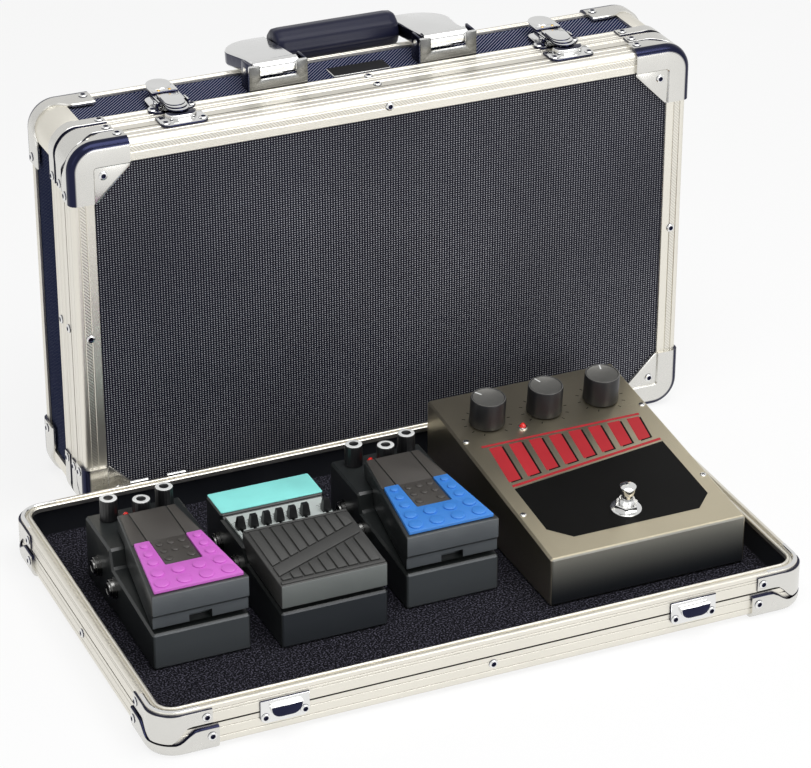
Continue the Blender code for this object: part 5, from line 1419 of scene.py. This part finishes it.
def make_handle():
    """Carrying handle: arms with their barrels, grip, brackets and the bare plate between them."""
    place = handle_place()
    folded = place @ Matrix.Rotation(-HANDLE_DROP, 4, "X")
    bail = bmesh.new()
    for sign in SIGNS:
        join(bail, arm_shape(sign))
        spot = Matrix.Translation((sign * BRACKET_X, 0, 0)) @ Matrix.Rotation(QUARTER_TURN, 4, "Y")
        barrel = turned(mm((0, -16.6), (6, -16.6), (6, 16.6), (0, 16.6)), steps=24)
        join(bail, barrel, spot)
        pin = turned(mm((0, -22.4), (2.5, -22.4), (2.5, 22.4), (0, 22.4)), steps=14)
        join(bail, pin, spot)
    finishes = ["bright_chrome", "shaded_chrome"]
    new_piece("handle_arms", bail, folded, finishes, "handle", stands_for=["handle_bail"])
    new_piece(
        "handle_grip_moulding", grip_shape(), folded, ["navy_moulding"], "handle",
        stands_for=["handle_grip"], sharp=60,
    )
    finishes = ["bright_chrome", "shaded_grey_chrome", "shaded_chrome"]
    for side, middle in (("left", -BRACKET_X), ("right", BRACKET_X)):
        node = "handle_bracket_" + side
        new_piece(
            node + "_plate", bracket_shape(middle), place, finishes, "shell", stands_for=[node]
        )
    label = plate(
        rectangle(22 * MM, 17 * MM, 33 * MM), 0.0, 1.2 * MM, corner=1.5 * MM, steps=3, edge=0.4 * MM
    )
    bare = plate(rectangle(21.3 * MM, 17.7 * MM, 32.3 * MM), 1.0 * MM, 1.4 * MM, corner=1 * MM, steps=3)
    join(label, paint(bare, 1))
    spot = Matrix.Translation((CASE_X, SPLIT_Y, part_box("shell_box")[1].z))
    new_piece("bare_label_plate", label, spot, ["bright_chrome", "bare_label"], "shell")


# Pedals; Y is 0 at a pedal's rear edge and falls towards the player, Z is 0 under it

# Compact treadle: half its width in front, how far forward it reaches and the length of its top
COMPACT_HALF = 34 * MM
COMPACT_REACH = 134 * MM
COMPACT_TOP = 104 * MM
EQ_HALF = 38 * MM
WEDGE_KNOB_PITCH = 45 * MM
WEDGE_KNOB_Y = -40 * MM
KNOB_SIDES = ("left", "middle", "right")
SLIDERS = (*(f"eq_slider_{number}" for number in range(1, 7)), "eq_slider_level")


def pedal_place(housing):
    low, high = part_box(housing)
    return Matrix.Translation(((low.x + high.x) / 2, high.y, low.z))


def jacks_shape(x, spots):
    """The sockets on a pedal's left wall."""
    shape = bmesh.new()
    for y in spots:
        join(shape, jack_shape(), Matrix.Translation((x, y, 21 * MM)))
    return shape


def jack_shape():
    """Socket on a pedal's side: washer, nut, threaded collar and its dark hole, facing -X."""
    shape = turned(
        mm(
            (3.0, 3.0), (3.7, 5.0), (4.7, 5.0), (4.9, 4.6), (4.9, 3.8), (6.3, 3.8), (6.7, 3.4),
            (6.7, 1.0), (7.4, 0.8), (7.4, 0), (0, 0),
        ),
        steps=24,
    )
    hole = turned(mm((0, 3.4), (3.4, 4.6), (3.4, 1.0), (0, 1.0)), steps=16)
    join(shape, paint(hole, 1))
    shape.transform(Matrix.Rotation(-QUARTER_TURN, 4, "Y"))
    return shape


def scaled(profile, radius):
    return [(way * radius, height * radius) for way, height in profile]


def lamp_shape(radius):
    """Small lamp in a ring."""
    lens = [(0.0, 1.6), (0.55, 1.4), (0.9, 0.8), (1.0, 0.2), (1.0, -0.4), (0.0, -0.4)]
    ring = [(1.0, 0.0), (1.1, 0.45), (1.45, 0.4), (1.6, 0.0), (1.6, -0.3), (1.0, -0.3)]
    shape = turned(scaled(lens, radius), steps=18)
    join(shape, paint(turned(scaled(ring, radius), steps=18), 1))
    return shape


def lamp_collar_shape():
    """Dark collar under a small lamp."""
    return paint(turned(mm((0, 0), (3.4, 0), (3.0, 3.6), (0, 3.6)), steps=18), 1)


def fluted_knob(radius, height, flutes=18):
    """Fluted knob with a pale ring and a sunk middle on its top."""
    profile = [
        (0.0, height - 0.8 * MM), (0.42 * radius, height - 0.8 * MM), (0.48 * radius, height - 0.1 * MM),
        (0.52 * radius, height), (0.86 * radius, height), (0.94 * radius, height - 0.3 * MM),
        (0.97 * radius, height - 1.2 * MM), (radius, 1.6 * MM), (radius, 0.3 * MM), (0.0, 0.3 * MM),
    ]
    shape = turned(profile, steps=flutes * 4)
    for face in shape.faces:
        middle = face.calc_center_median()
        reach = math.hypot(middle.x, middle.y)
        if middle.z > height - 0.2 * MM and 0.5 * radius < reach < 0.95 * radius:
            face.material_index = 1
    for vert in shape.verts:
        if math.hypot(vert.co.x, vert.co.y) > 0.95 * radius and vert.co.z > 1.0 * MM:
            swell = 1.0 - 0.05 * max(0.0, math.cos(flutes * math.atan2(vert.co.y, vert.co.x)))
            vert.co.x *= swell
            vert.co.y *= swell
    return shape


def compact_half_width(y):
    """Half the width of a compact treadle, which narrows towards the rear."""
    return COMPACT_HALF - 13 * MM * (y + COMPACT_REACH) / COMPACT_TOP


def compact_slope():
    """Plane of a compact treadle's top, in the pedal's frame."""
    rise = 3.0 / 104.0
    spot = Matrix.Translation((0, 0, 56 * MM + COMPACT_REACH * rise))
    return spot @ Matrix.Rotation(math.atan(rise), 4, "X")


def paint_lit_front(shape):
    """Gives the faces towards the player the second finish, a lighter copy that paints the light falling on
    the fronts.
    """
    for face in shape.faces:
        if face.normal.y < -0.9:
            face.material_index = 1
    return shape


def compact_treadle_shape():
    """Treadle: a wedge with a stepped front skirt and a notch in the middle of the skirt."""
    outline = mm(
        (-132.4, 30.3), (-132.4, 39.8), (-134, 40.6), (-134, 56), (-30, 59), (-30, 47.7), (-52, 47.7),
        (-56, 36.3),
    )
    shape = pushed(outline, COMPACT_HALF, edge=1.0 * MM)
    for vert in shape.verts:
        vert.co.x *= compact_half_width(vert.co.y) / COMPACT_HALF
    notch_half, notch_top = 8 * MM, 36.6 * MM
    cuts = (
        ((-notch_half, 0, 0), (1, 0, 0)),
        ((notch_half, 0, 0), (1, 0, 0)),
        ((0, 0, notch_top), (0, 0, 1)),
    )
    for spot, facing in cuts:
        geometry = shape.verts[:] + shape.edges[:] + shape.faces[:]
        bmesh.ops.bisect_plane(shape, geom=geometry, plane_co=spot, plane_no=facing)
    notch = []
    for face in shape.faces:
        middle = face.calc_center_median()
        if abs(middle.x) < notch_half and middle.z < notch_top and middle.y < -132 * MM:
            notch.append(face)
    drawn = bmesh.ops.extrude_face_region(shape, geom=notch)["geom"]
    bmesh.ops.translate(shape, verts=points_of(drawn), vec=(0, 7 * MM, 0))
    bmesh.ops.delete(shape, geom=[face for face in notch if face.is_valid], context="FACES_ONLY")
    return paint_lit_front(outward(shape))


def stud_shape(radius, height):
    profile = [
        (0.0, height), (0.78 * radius, height), (0.94 * radius, height - 0.2 * MM),
        (radius, height - 0.5 * MM), (radius, -0.4 * MM), (0.0, -0.4 * MM),
    ]
    return turned(profile, steps=20)


def compact_pad_shape():
    """U-shaped studded pad, in the plane of the treadle."""
    front, rear, notch = -131.5 * MM, -71.5 * MM, -103.5 * MM
    wide_front = compact_half_width(front) - 2.5 * MM
    wide_rear = compact_half_width(rear) - 2.5 * MM
    inner = 13 * MM
    outline = [
        (-wide_front, front), (wide_front, front), (wide_rear, rear), (inner, rear), (inner, notch),
        (-inner, notch), (-inner, rear), (-wide_rear, rear),
    ]
    shape = plate(outline, 0.3 * MM, 2.5 * MM, corner=0.8 * MM, steps=3, edge=0.5 * MM)
    studs = []
    for y, radius, count in ((-124.5 * MM, 5.0 * MM, 4), (-112 * MM, 4.5 * MM, 4)):
        span = compact_half_width(y) - 9.5 * MM
        studs += [(span * (2 * index / (count - 1) - 1), y, radius) for index in range(count)]
    for index in range(3):
        y = -99 * MM + index * 10.6 * MM
        leg = (inner + compact_half_width(y) - 2.5 * MM) / 2
        studs += [(sign * leg, y, (3.6 - 0.4 * index) * MM) for sign in SIGNS]
    for x, y, radius in studs:
        join(shape, stud_shape(radius, 1.2 * MM), Matrix.Translation((x, y, 2.5 * MM)))
    return shape


def compact_plates_shape():
    """Plates on the treadle: studded middle plate in the pad's notch, bare middle plate and side strips."""
    shape = plate(
        rectangle(12.4 * MM, -103 * MM, -71.2 * MM), 0.2 * MM, 1.5 * MM, corner=0.8 * MM, steps=3,
        edge=0.4 * MM,
    )
    spots = [(-8, -96), (8, -96)]
    spots += [(x, y) for y in (-86.5, -77.5) for x in (-8, 0, 8)]
    for x, y in spots:
        radius = 2.9 if y == -96 else 2.5
        join(shape, stud_shape(radius * MM, 0.9 * MM), Matrix.Translation((x * MM, y * MM, 1.5 * MM)))
    front, rear = -70.6 * MM, -31.4 * MM
    bare = rectangle(13.2 * MM, front, rear)
    join(shape, plate(bare, 0.1 * MM, 0.8 * MM, corner=0.5 * MM, steps=2, edge=0.25 * MM))
    front_x = compact_half_width(front) - 1.4 * MM
    rear_x = compact_half_width(rear) - 1.4 * MM
    for sign in SIGNS:
        inner = sign * 14 * MM
        outline = [(inner, front), (sign * front_x, front), (sign * rear_x, rear), (inner, rear)]
        join(shape, plate(outline, 0.1 * MM, 0.7 * MM, corner=0.4 * MM, steps=2, edge=0.25 * MM))
    return shape


def make_knobs(name):
    """Fluted knobs of a compact pedal."""
    for side in KNOB_SIDES:
        node = f"{name}_knob_{side}"
        low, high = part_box(node)
        knob = fluted_knob(6.4 * MM, high.z - low.z)
        place = Matrix.Translation(((low.x + high.x) / 2, (low.y + high.y) / 2, low.z))
        finishes = ["moulded_black", "white_ring"]
        new_piece(
            node + "_fluted", knob, place, finishes, node, stands_for=[node], sharp=50
        )


def make_compact_pedals():
    """The two compact pedals: housing details, treadle, pad, plates and knobs."""
    pedals = (("chorus", "magenta_pad", "magenta_rubber"), ("drive", "blue_pad", "blue_rubber"))
    for name, pad_finish, pad_slot in pedals:
        place = pedal_place(name + "_housing")
        top = place @ compact_slope()
        dress(name + "_housing", name + "_paint")
        dress(name + "_bottom_plate", "satin_paint")
        body = name + "_treadle"
        finishes = ["satin_paint", "front_paint"]
        casting = compact_treadle_shape()
        new_piece(body + "_casting", casting, place, finishes, body, stands_for=[body])
        pad = new_piece(
            name + "_pad_rubber", compact_pad_shape(), top, [pad_finish], body,
            stands_for=[name + "_pad"],
        )
        new_piece(body + "_plates", compact_plates_shape(), top, ["treadle_plate"], body)
        # The jacks' plated nuts are drawn in grey chrome: painted shade on the shaded side wall.
        jacks = jacks_shape(-COMPACT_HALF, (-26 * MM, -58 * MM))
        new_piece(name + "_jacks", jacks, place, ["shaded_grey_chrome", "moulded_black"], "tray")
        lamp = lamp_shape(2.2 * MM)
        join(lamp, lamp_collar_shape(), Matrix.Translation((0, 0, -3.4 * MM)))
        spot = place @ Matrix.Translation((-10.5 * MM, -17.5 * MM, 49.2 * MM))
        new_piece(name + "_lamp", lamp, spot, ["lamp_red", "moulded_black"], "tray")
        make_knobs(name)


def ribbed_treadle_shape():
    """Equalizer treadle: a wedge with deep lengthwise ribs, crossed by a raised slanting band."""
    outline = mm((-140, 30.3), (-140, 48.2), (-69.3, 52.2), (-69.3, 45.3), (-78.6, 34.3))
    shape = paint_lit_front(pushed(outline, EQ_HALF, edge=1.2 * MM))
    rise = 4.0 / 70.7
    slope = Matrix.Translation((0, -140 * MM, 48.2 * MM)) @ Matrix.Rotation(math.atan(rise), 4, "X")
    front, rear = 5.5 * MM, 66.5 * MM
    lean = 0.42
    low_band, high_band = 24 * MM, 38 * MM
    width, pitch = 6.6 * MM, 7.9 * MM
    for index in range(9):
        left = (index - 4) * pitch - width / 2
        right = left + width
        front_part = [
            (left, front), (right, front), (right, low_band + lean * right), (left, low_band + lean * left)
        ]
        rear_part = [
            (left, high_band + lean * left), (right, high_band + lean * right), (right, rear), (left, rear)
        ]
        for part in (front_part, rear_part):
            join(shape, plate(part, -0.3 * MM, 1.4 * MM, corner=0.6 * MM, steps=2, edge=0.4 * MM), slope)
    end = 35.2 * MM
    band = [
        (-end, low_band - lean * end + 1.2 * MM), (end, low_band + lean * end + 1.2 * MM),
        (end, high_band + lean * end - 1.2 * MM), (-end, high_band - lean * end - 1.2 * MM),
    ]
    join(shape, plate(band, -0.3 * MM, 1.5 * MM, corner=1.0 * MM, steps=3, edge=0.5 * MM), slope)
    for low, high in ((1.2 * MM, 4.2 * MM), (67.5 * MM, 69.6 * MM)):
        bar = block((-37 * MM, low, -0.3 * MM), (37 * MM, high, 1.3 * MM), edge=0.5 * MM)
        join(shape, bar, slope)
    return shape


def slider_ticks_shape():
    """Small printed ticks beside the slots, with a longer one at the middle."""
    shape = bmesh.new()
    for node in SLIDERS:
        low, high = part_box(node)
        x, y = (low.x + high.x) / 2, (low.y + high.y) / 2
        for step in range(-4, 5):
            reach = 2.2 * MM if step % 4 == 0 else 1.4 * MM
            middle = y + step * 2.0 * MM
            for sign in SIGNS:
                inner = x + sign * 1.9 * MM
                left, right = sorted((inner, inner + sign * reach))
                low, high = middle - 0.15 * MM, middle + 0.15 * MM
                join(shape, block((left, low, 0.0), (right, high, 0.05 * MM)))
    return shape


def make_equalizer():
    """The equalizer: housing finish, bare turquoise plate, slider panel with ticks, sliders and treadle."""
    place = pedal_place("eq_housing")
    dress("eq_housing", "eq_paint")
    dress("eq_bottom_plate", "satin_paint")
    dress("eq_control_panel", "pale_panel")
    finishes = ["dark_rubber", "lit_front_rubber"]
    new_piece(
        "eq_treadle_ribbed", ribbed_treadle_shape(), place, finishes, "eq_treadle",
        stands_for=["eq_treadle"],
    )
    deck = plate(
        rectangle(37.4 * MM, -28.5 * MM, -0.8 * MM), 44 * MM, 44.7 * MM, corner=1.2 * MM, steps=3,
        edge=0.3 * MM,
    )
    new_piece("eq_turquoise_plate", deck, place, ["turquoise_plate"], "tray")
    panel = Matrix.Translation((0, 0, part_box("eq_control_panel")[1].z))
    new_piece("eq_ticks", slider_ticks_shape(), panel, ["moulded_black"], "tray")
    for node in SLIDERS:
        dress(node, "moulded_black")
    # The jacks' plated nuts are drawn in grey chrome: painted shade on the shaded side wall.
    jacks = jacks_shape(-EQ_HALF, (-26 * MM, -60 * MM))
    new_piece("eq_jacks", jacks, place, ["shaded_grey_chrome", "moulded_black"], "tray")


def wedge_deck():
    """Plane of the wedge pedal's top, from its rear edge."""
    low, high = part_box("fuzz_housing")
    rise = math.atan2(21.0, 205.0)
    top = Matrix.Translation(((low.x + high.x) / 2, high.y, low.z + 58 * MM))
    return top @ Matrix.Rotation(rise, 4, "X")


def dial_ticks(shape, x, y, radius):
    """Short printed ticks round a knob, open towards the player."""
    for index in range(11):
        turn = Matrix.Rotation(math.radians(-150 + 30 * index), 4, "Z")
        tick = block((-0.3 * MM, radius, 0.0), (0.3 * MM, radius + 2.4 * MM, 0.06 * MM))
        join(shape, paint(tick, 1), Matrix.Translation((x, y, 0)) @ turn)


def wedge_print_shape():
    """Print on the wedge: ticks round the knobs, slanting bars over a sloped line, and a dark panel."""
    shape = bmesh.new()
    for x in (-WEDGE_KNOB_PITCH, 0.0, WEDGE_KNOB_PITCH):
        dial_ticks(shape, x, WEDGE_KNOB_Y, 15.5 * MM)
    side, top, slope = 62 * MM, -71 * MM, 0.14
    join(shape, plate(rectangle(side, top + 2 * MM, top + 4.2 * MM), 0.0, 0.07 * MM))
    count, lean, foot = 8, 4 * MM, -105 * MM
    pitch = 2 * side / count
    for index in range(count):
        left = -side + index * pitch
        right = left + 0.62 * pitch
        low_left = foot + slope * left
        low_right = foot + slope * right
        bar = [(left, low_left), (right, low_right), (right + lean, top), (left + lean, top)]
        join(shape, plate(bar, 0.0, 0.08 * MM))
        shadow = [(x + 1.3 * MM, y - 1.0 * MM) for x, y in bar]
        join(shape, paint(plate(shadow, 0.0, 0.05 * MM), 1))
    line = [
        (-side, -111.5 * MM - slope * side), (side, -111.5 * MM + slope * side),
        (side, -109 * MM + slope * side), (-side, -109 * MM - slope * side),
    ]
    join(shape, plate(line, 0.0, 0.07 * MM))
    cut, low, high = 14 * MM, -187 * MM, -113.5 * MM
    panel = [
        (-side, high - slope * side), (-side, low + cut), (-side + cut, low),
        (side - cut, low), (side, low + cut), (side, high + slope * side),
    ]
    join(shape, paint(plate(panel, 0.0, 0.06 * MM), 1))
    return shape


def wedge_knob_shape(radius, height):
    """Large turned knob with a skirt, a brushed top and a pale tick."""
    profile = [
        (0.0, height - 0.3 * MM), (0.86 * radius, height - 0.3 * MM), (0.90 * radius, height),
        (0.95 * radius, height - 0.1 * MM), (0.98 * radius, height - 0.9 * MM),
        (0.985 * radius, 3.6 * MM), (radius, 3.0 * MM), (radius, 0.4 * MM), (0.96 * radius, 0.0),
        (0.0, 0.0),
    ]
    shape = turned(profile, steps=48)
    for face in shape.faces:
        if face.calc_center_median().z > height - 0.32 * MM and face.normal.z > 0.9:
            face.material_index = 1
    tick = block(
        (-0.5 * MM, 0.45 * radius, height - 0.35 * MM), (0.5 * MM, 0.86 * radius, height - 0.15 * MM)
    )
    join(shape, paint(tick, 2))
    return shape


def switch_bush_shape():
    """Washer, hexagon nut and threaded neck of the footswitch."""
    shape = turned(
        mm((4.3, 1.0), (10.0, 1.2), (10.8, 0.9), (11, 0.3), (11, 0), (4.3, 0), (4.3, 1.0)),
        steps=36,
    )
    nut = mm((5.0, 5.2), (8.0, 5.2), (8.6, 4.7), (8.6, 1.0), (5.0, 1.0), (5.0, 5.2))
    join(shape, turned(nut, steps=6))
    rings = mm((4.3, 9), (5.2, 9))
    for index in range(6):
        height = 8.7 * MM - index * 0.6 * MM
        rings += [(5.5 * MM, height), (5.1 * MM, height - 0.3 * MM)]
    rings += mm((5.1, 4.0), (4.3, 4.0), (4.3, 9))
    join(shape, turned(rings, steps=30))
    return shape


def plunger_shape():
    """Push button of the footswitch, with a flat domed cap."""
    low = 12.8 * MM
    profile = [
        (0.0, low + 7.0 * MM), (3.0 * MM, low + 6.9 * MM), (4.8 * MM, low + 6.5 * MM),
        (5.7 * MM, low + 5.8 * MM), (6.0 * MM, low + 4.8 * MM), (6.0 * MM, low + 1.0 * MM),
        (5.6 * MM, low + 0.4 * MM), (4.0 * MM, low), (4.0 * MM, 4.1 * MM), (0.0, 4.1 * MM),
    ]
    return turned(profile, steps=32)


def screw_shape(radius):
    """Small pan-head screw with a cross slot."""
    head = [(0.0, 0.35), (0.6, 0.33), (0.9, 0.2), (1.0, 0.0), (1.0, -0.2), (0.0, -0.2)]
    shape = turned(scaled(head, radius), steps=18)
    # The cross slot is drawn as thin black bars: painted shade in the recess.
    for turn in (0.0, QUARTER_TURN):
        low = (-0.6 * radius, -0.1 * radius, 0.3 * radius)
        high = (0.6 * radius, 0.1 * radius, 0.37 * radius)
        slot = block(low, high)
        join(shape, paint(slot, 1), Matrix.Rotation(turn + 0.4, 4, "Z"))
    return shape


def make_wedge_pedal():
    """The wedge pedal: steel finish, print, knobs, lamp, screws and footswitch."""
    deck = wedge_deck()
    dress("fuzz_housing", "warm_steel")
    dress("fuzz_bottom_plate", "satin_paint")
    finishes = ["red_print", "black_print"]
    new_piece("fuzz_print", wedge_print_shape(), deck, finishes, "tray")
    finishes = ["moulded_black", "knob_face", "white_ring"]
    for index, angle in enumerate((35, 20, -15)):
        node = "fuzz_knob_" + KNOB_SIDES[index]
        knob = wedge_knob_shape(13 * MM, 21 * MM)
        spot = Matrix.Translation(((index - 1) * WEDGE_KNOB_PITCH, WEDGE_KNOB_Y, 0.3 * MM))
        place = deck @ spot @ Matrix.Rotation(math.radians(angle), 4, "Z")
        new_piece(node + "_turned", knob, place, finishes, node, stands_for=[node])
    spot = deck @ Matrix.Translation((-24 * MM, -55 * MM, 0))
    new_piece("fuzz_lamp", lamp_shape(2.3 * MM), spot, ["lamp_red", "bright_chrome"], "tray")
    screws = bmesh.new()
    for x in (-69.5 * MM, 69.5 * MM):
        for y in (-58 * MM, -152 * MM):
            join(screws, screw_shape(2.4 * MM), Matrix.Translation((x, y, 0)))
    new_piece("fuzz_screws", screws, deck, ["bright_chrome", "moulded_black"], "tray")
    spot = deck @ Matrix.Translation((0, 36 * MM - 206.07 * MM, 0.3 * MM))
    button = "fuzz_switch_plunger"
    switch = (
        ("fuzz_switch_collar", switch_bush_shape(), "tray", "fuzz_switch_bush"),
        ("fuzz_switch_button", plunger_shape(), button, button),
    )
    for name, shape, body, node in switch:
        new_piece(name, shape, spot, ["bright_chrome"], body, stands_for=[node], sharp=30)


# Stage

def floor_finish():
    """Pale floor that stays near white for the camera and keeps the shadow."""
    finish = bpy.data.materials.new("pale_floor")
    finish.use_nodes = True
    tree = finish.node_tree
    shader = tree.nodes["Principled BSDF"]
    shader.inputs["Base Color"].default_value = (*bpy.context.scene.pedalboard_stage.floor, 1.0)
    shader.inputs["Roughness"].default_value = 0.8
    shader.inputs["Specular IOR Level"].default_value = 0.1
    path = add_node(tree, "LightPath").outputs
    seen = maths(tree, "MAXIMUM", path["Is Camera Ray"], path["Is Glossy Ray"])
    white = add_node(tree, "Emission", {"Color": (1.0, 1.0, 1.0, 1.0), "Strength": 1.0})
    share = maths(tree, "MULTIPLY", seen, 0.8)
    blend = add_node(tree, "MixShader", {0: share, 1: shader.outputs[0], 2: white.outputs[0]})
    feed(tree, tree.nodes["Material Output"].inputs["Surface"], blend.outputs[0])
    return finish


def add_lamp(name, place, aim, size, power):
    lamp = bpy.data.lights.new(name, "AREA")
    lamp.shape = "RECTANGLE"
    lamp.size, lamp.size_y = size
    lamp.energy = power
    holder = bpy.data.objects.new(name, lamp)
    holder.location = place
    holder.rotation_euler = (Vector(aim) - Vector(place)).to_track_quat("-Z", "Y").to_euler()
    bpy.context.scene.collection.objects.link(holder)
    return holder


def add_world():
    world = bpy.data.worlds.new("studio")
    world.use_nodes = True
    tree = world.node_tree
    path = add_node(tree, "LightPath").outputs
    seen = maths(tree, "MAXIMUM", path["Is Camera Ray"], path["Is Transmission Ray"])
    strength = maths(tree, "MULTIPLY_ADD", seen, 0.62, 0.38)
    strength = maths(tree, "MULTIPLY_ADD", path["Is Glossy Ray"], 0.42, strength)
    feed(tree, tree.nodes["Background"].inputs["Strength"], strength)
    tree.nodes["Background"].inputs["Color"].default_value = (1.0, 1.0, 1.0, 1.0)
    bpy.context.scene.world = world


def add_camera():
    """Camera at the photograph's viewing angle."""
    scene = bpy.context.scene
    looks = scene.pedalboard_stage
    camera = bpy.data.cameras.new("camera")
    camera.lens = looks.lens
    camera.sensor_width = 36.0
    camera.sensor_fit = "HORIZONTAL"
    camera.clip_end = 50.0
    holder = bpy.data.objects.new("camera", camera)
    holder.location = looks.camera
    holder.rotation_euler = (QUARTER_TURN - looks.tilt, 0.0, -looks.turn)
    scene.collection.objects.link(holder)
    scene.camera = holder


def add_floor():
    shape = bmesh.new()
    bmesh.ops.create_grid(shape, x_segments=2, y_segments=2, size=6.0)
    bmesh.ops.translate(shape, verts=shape.verts[:], vec=(0.0, 0.0, -0.1 * MM))
    mesh = bpy.data.meshes.new("floor")
    shape.to_mesh(mesh)
    shape.free()
    mesh.materials.append(floor_finish())
    floor = bpy.data.objects.new("floor", mesh)
    bpy.context.scene.collection.objects.link(floor)


def make_stage():
    """Floor, lamps, world and camera."""
    scene = bpy.context.scene
    looks = scene.pedalboard_stage
    add_floor()
    lamps = (
        ("lamp_above", (0.1, -0.4, 1.9), (1.8, 1.2), looks.key_power),
        ("lamp_strip", (0.75, -1.05, 1.7), (1.4, 0.25), looks.fill_power),
        ("lamp_front", (0.7, -2.2, 0.6), (1.2, 0.8), looks.fill_power * 2.2),
        ("lamp_left", (-1.9, -0.9, 1.0), (0.9, 1.2), looks.fill_power * 0.35),
    )
    for name, place, size, power in lamps:
        add_lamp(name, place, (0.0, 0.0, 0.1), size, power)
    add_world()
    add_camera()
    scene.view_settings.view_transform = "Standard"


# Operators, panel and registration

class PEDALBOARD_OT_stage(bpy.types.Operator):
    """Set up the floor, the lamps and the camera"""

    bl_idname = "pedalboard.stage"
    bl_label = "Stage"

    def execute(self, context):
        make_stage()
        return {"FINISHED"}


class PEDALBOARD_OT_boards(bpy.types.Operator):
    """Cover the boards of the tray and the case"""

    bl_idname = "pedalboard.boards"
    bl_label = "Boards"

    def execute(self, context):
        make_boards()
        return {"FINISHED"}


class PEDALBOARD_OT_edges(bpy.types.Operator):
    """Make the aluminium edges with their caps and brackets"""

    bl_idname = "pedalboard.edges"
    bl_label = "Edges"

    def execute(self, context):
        make_edges()
        return {"FINISHED"}


class PEDALBOARD_OT_rivets(bpy.types.Operator):
    """Make the hollow rivets"""

    bl_idname = "pedalboard.rivets"
    bl_label = "Rivets"

    def execute(self, context):
        make_rivets()
        return {"FINISHED"}


class PEDALBOARD_OT_lining(bpy.types.Operator):
    """Line the tray"""

    bl_idname = "pedalboard.lining"
    bl_label = "Lining"

    def execute(self, context):
        make_lining()
        return {"FINISHED"}


class PEDALBOARD_OT_latches(bpy.types.Operator):
    """Make the keepers and the draw latches"""

    bl_idname = "pedalboard.latches"
    bl_label = "Latches"

    def execute(self, context):
        make_latches()
        return {"FINISHED"}


class PEDALBOARD_OT_hinges(bpy.types.Operator):
    """Finish the hinges"""

    bl_idname = "pedalboard.hinges"
    bl_label = "Hinges"

    def execute(self, context):
        make_hinges()
        return {"FINISHED"}


class PEDALBOARD_OT_handle(bpy.types.Operator):
    """Make the carrying handle"""

    bl_idname = "pedalboard.handle"
    bl_label = "Handle"

    def execute(self, context):
        make_handle()
        return {"FINISHED"}


class PEDALBOARD_OT_compact_pedals(bpy.types.Operator):
    """Dress the two compact pedals"""

    bl_idname = "pedalboard.compact_pedals"
    bl_label = "Compact pedals"

    def execute(self, context):
        make_compact_pedals()
        return {"FINISHED"}


class PEDALBOARD_OT_equalizer(bpy.types.Operator):
    """Dress the equalizer"""

    bl_idname = "pedalboard.equalizer"
    bl_label = "Equalizer"

    def execute(self, context):
        make_equalizer()
        return {"FINISHED"}


class PEDALBOARD_OT_wedge_pedal(bpy.types.Operator):
    """Dress the wedge pedal"""

    bl_idname = "pedalboard.wedge_pedal"
    bl_label = "Wedge pedal"

    def execute(self, context):
        make_wedge_pedal()
        return {"FINISHED"}


PIECES = (
    PEDALBOARD_OT_boards,
    PEDALBOARD_OT_edges,
    PEDALBOARD_OT_rivets,
    PEDALBOARD_OT_lining,
    PEDALBOARD_OT_latches,
    PEDALBOARD_OT_hinges,
    PEDALBOARD_OT_handle,
    PEDALBOARD_OT_compact_pedals,
    PEDALBOARD_OT_equalizer,
    PEDALBOARD_OT_wedge_pedal,
    PEDALBOARD_OT_stage,
)


class PEDALBOARD_PT_looks(bpy.types.Panel):
    """Sidebar panel with the looks and the pieces"""

    bl_label = "Pedalboard"
    bl_space_type = "VIEW_3D"
    bl_region_type = "UI"
    bl_category = "Pedalboard"

    def draw(self, context):
        scene = context.scene
        for looks in (scene.pedalboard_case, scene.pedalboard_pedals, scene.pedalboard_stage):
            box = self.layout.box()
            for name in looks.__annotations__:
                box.prop(looks, name)
        for piece in PIECES:
            self.layout.operator(piece.bl_idname)


CLASSES = (CaseLooks, PedalLooks, StageLooks, *PIECES, PEDALBOARD_PT_looks)


def register():
    for item in CLASSES:
        bpy.utils.register_class(item)
    bpy.types.Scene.pedalboard_case = PointerProperty(type=CaseLooks)
    bpy.types.Scene.pedalboard_pedals = PointerProperty(type=PedalLooks)
    bpy.types.Scene.pedalboard_stage = PointerProperty(type=StageLooks)


def unregister():
    del bpy.types.Scene.pedalboard_stage
    del bpy.types.Scene.pedalboard_pedals
    del bpy.types.Scene.pedalboard_case
    for item in reversed(CLASSES):
        bpy.utils.unregister_class(item)


def main():
    register()
    for piece in PIECES:
        group, name = piece.bl_idname.split(".")
        getattr(getattr(bpy.ops, group), name)()


if __name__ == "__main__":
    main()
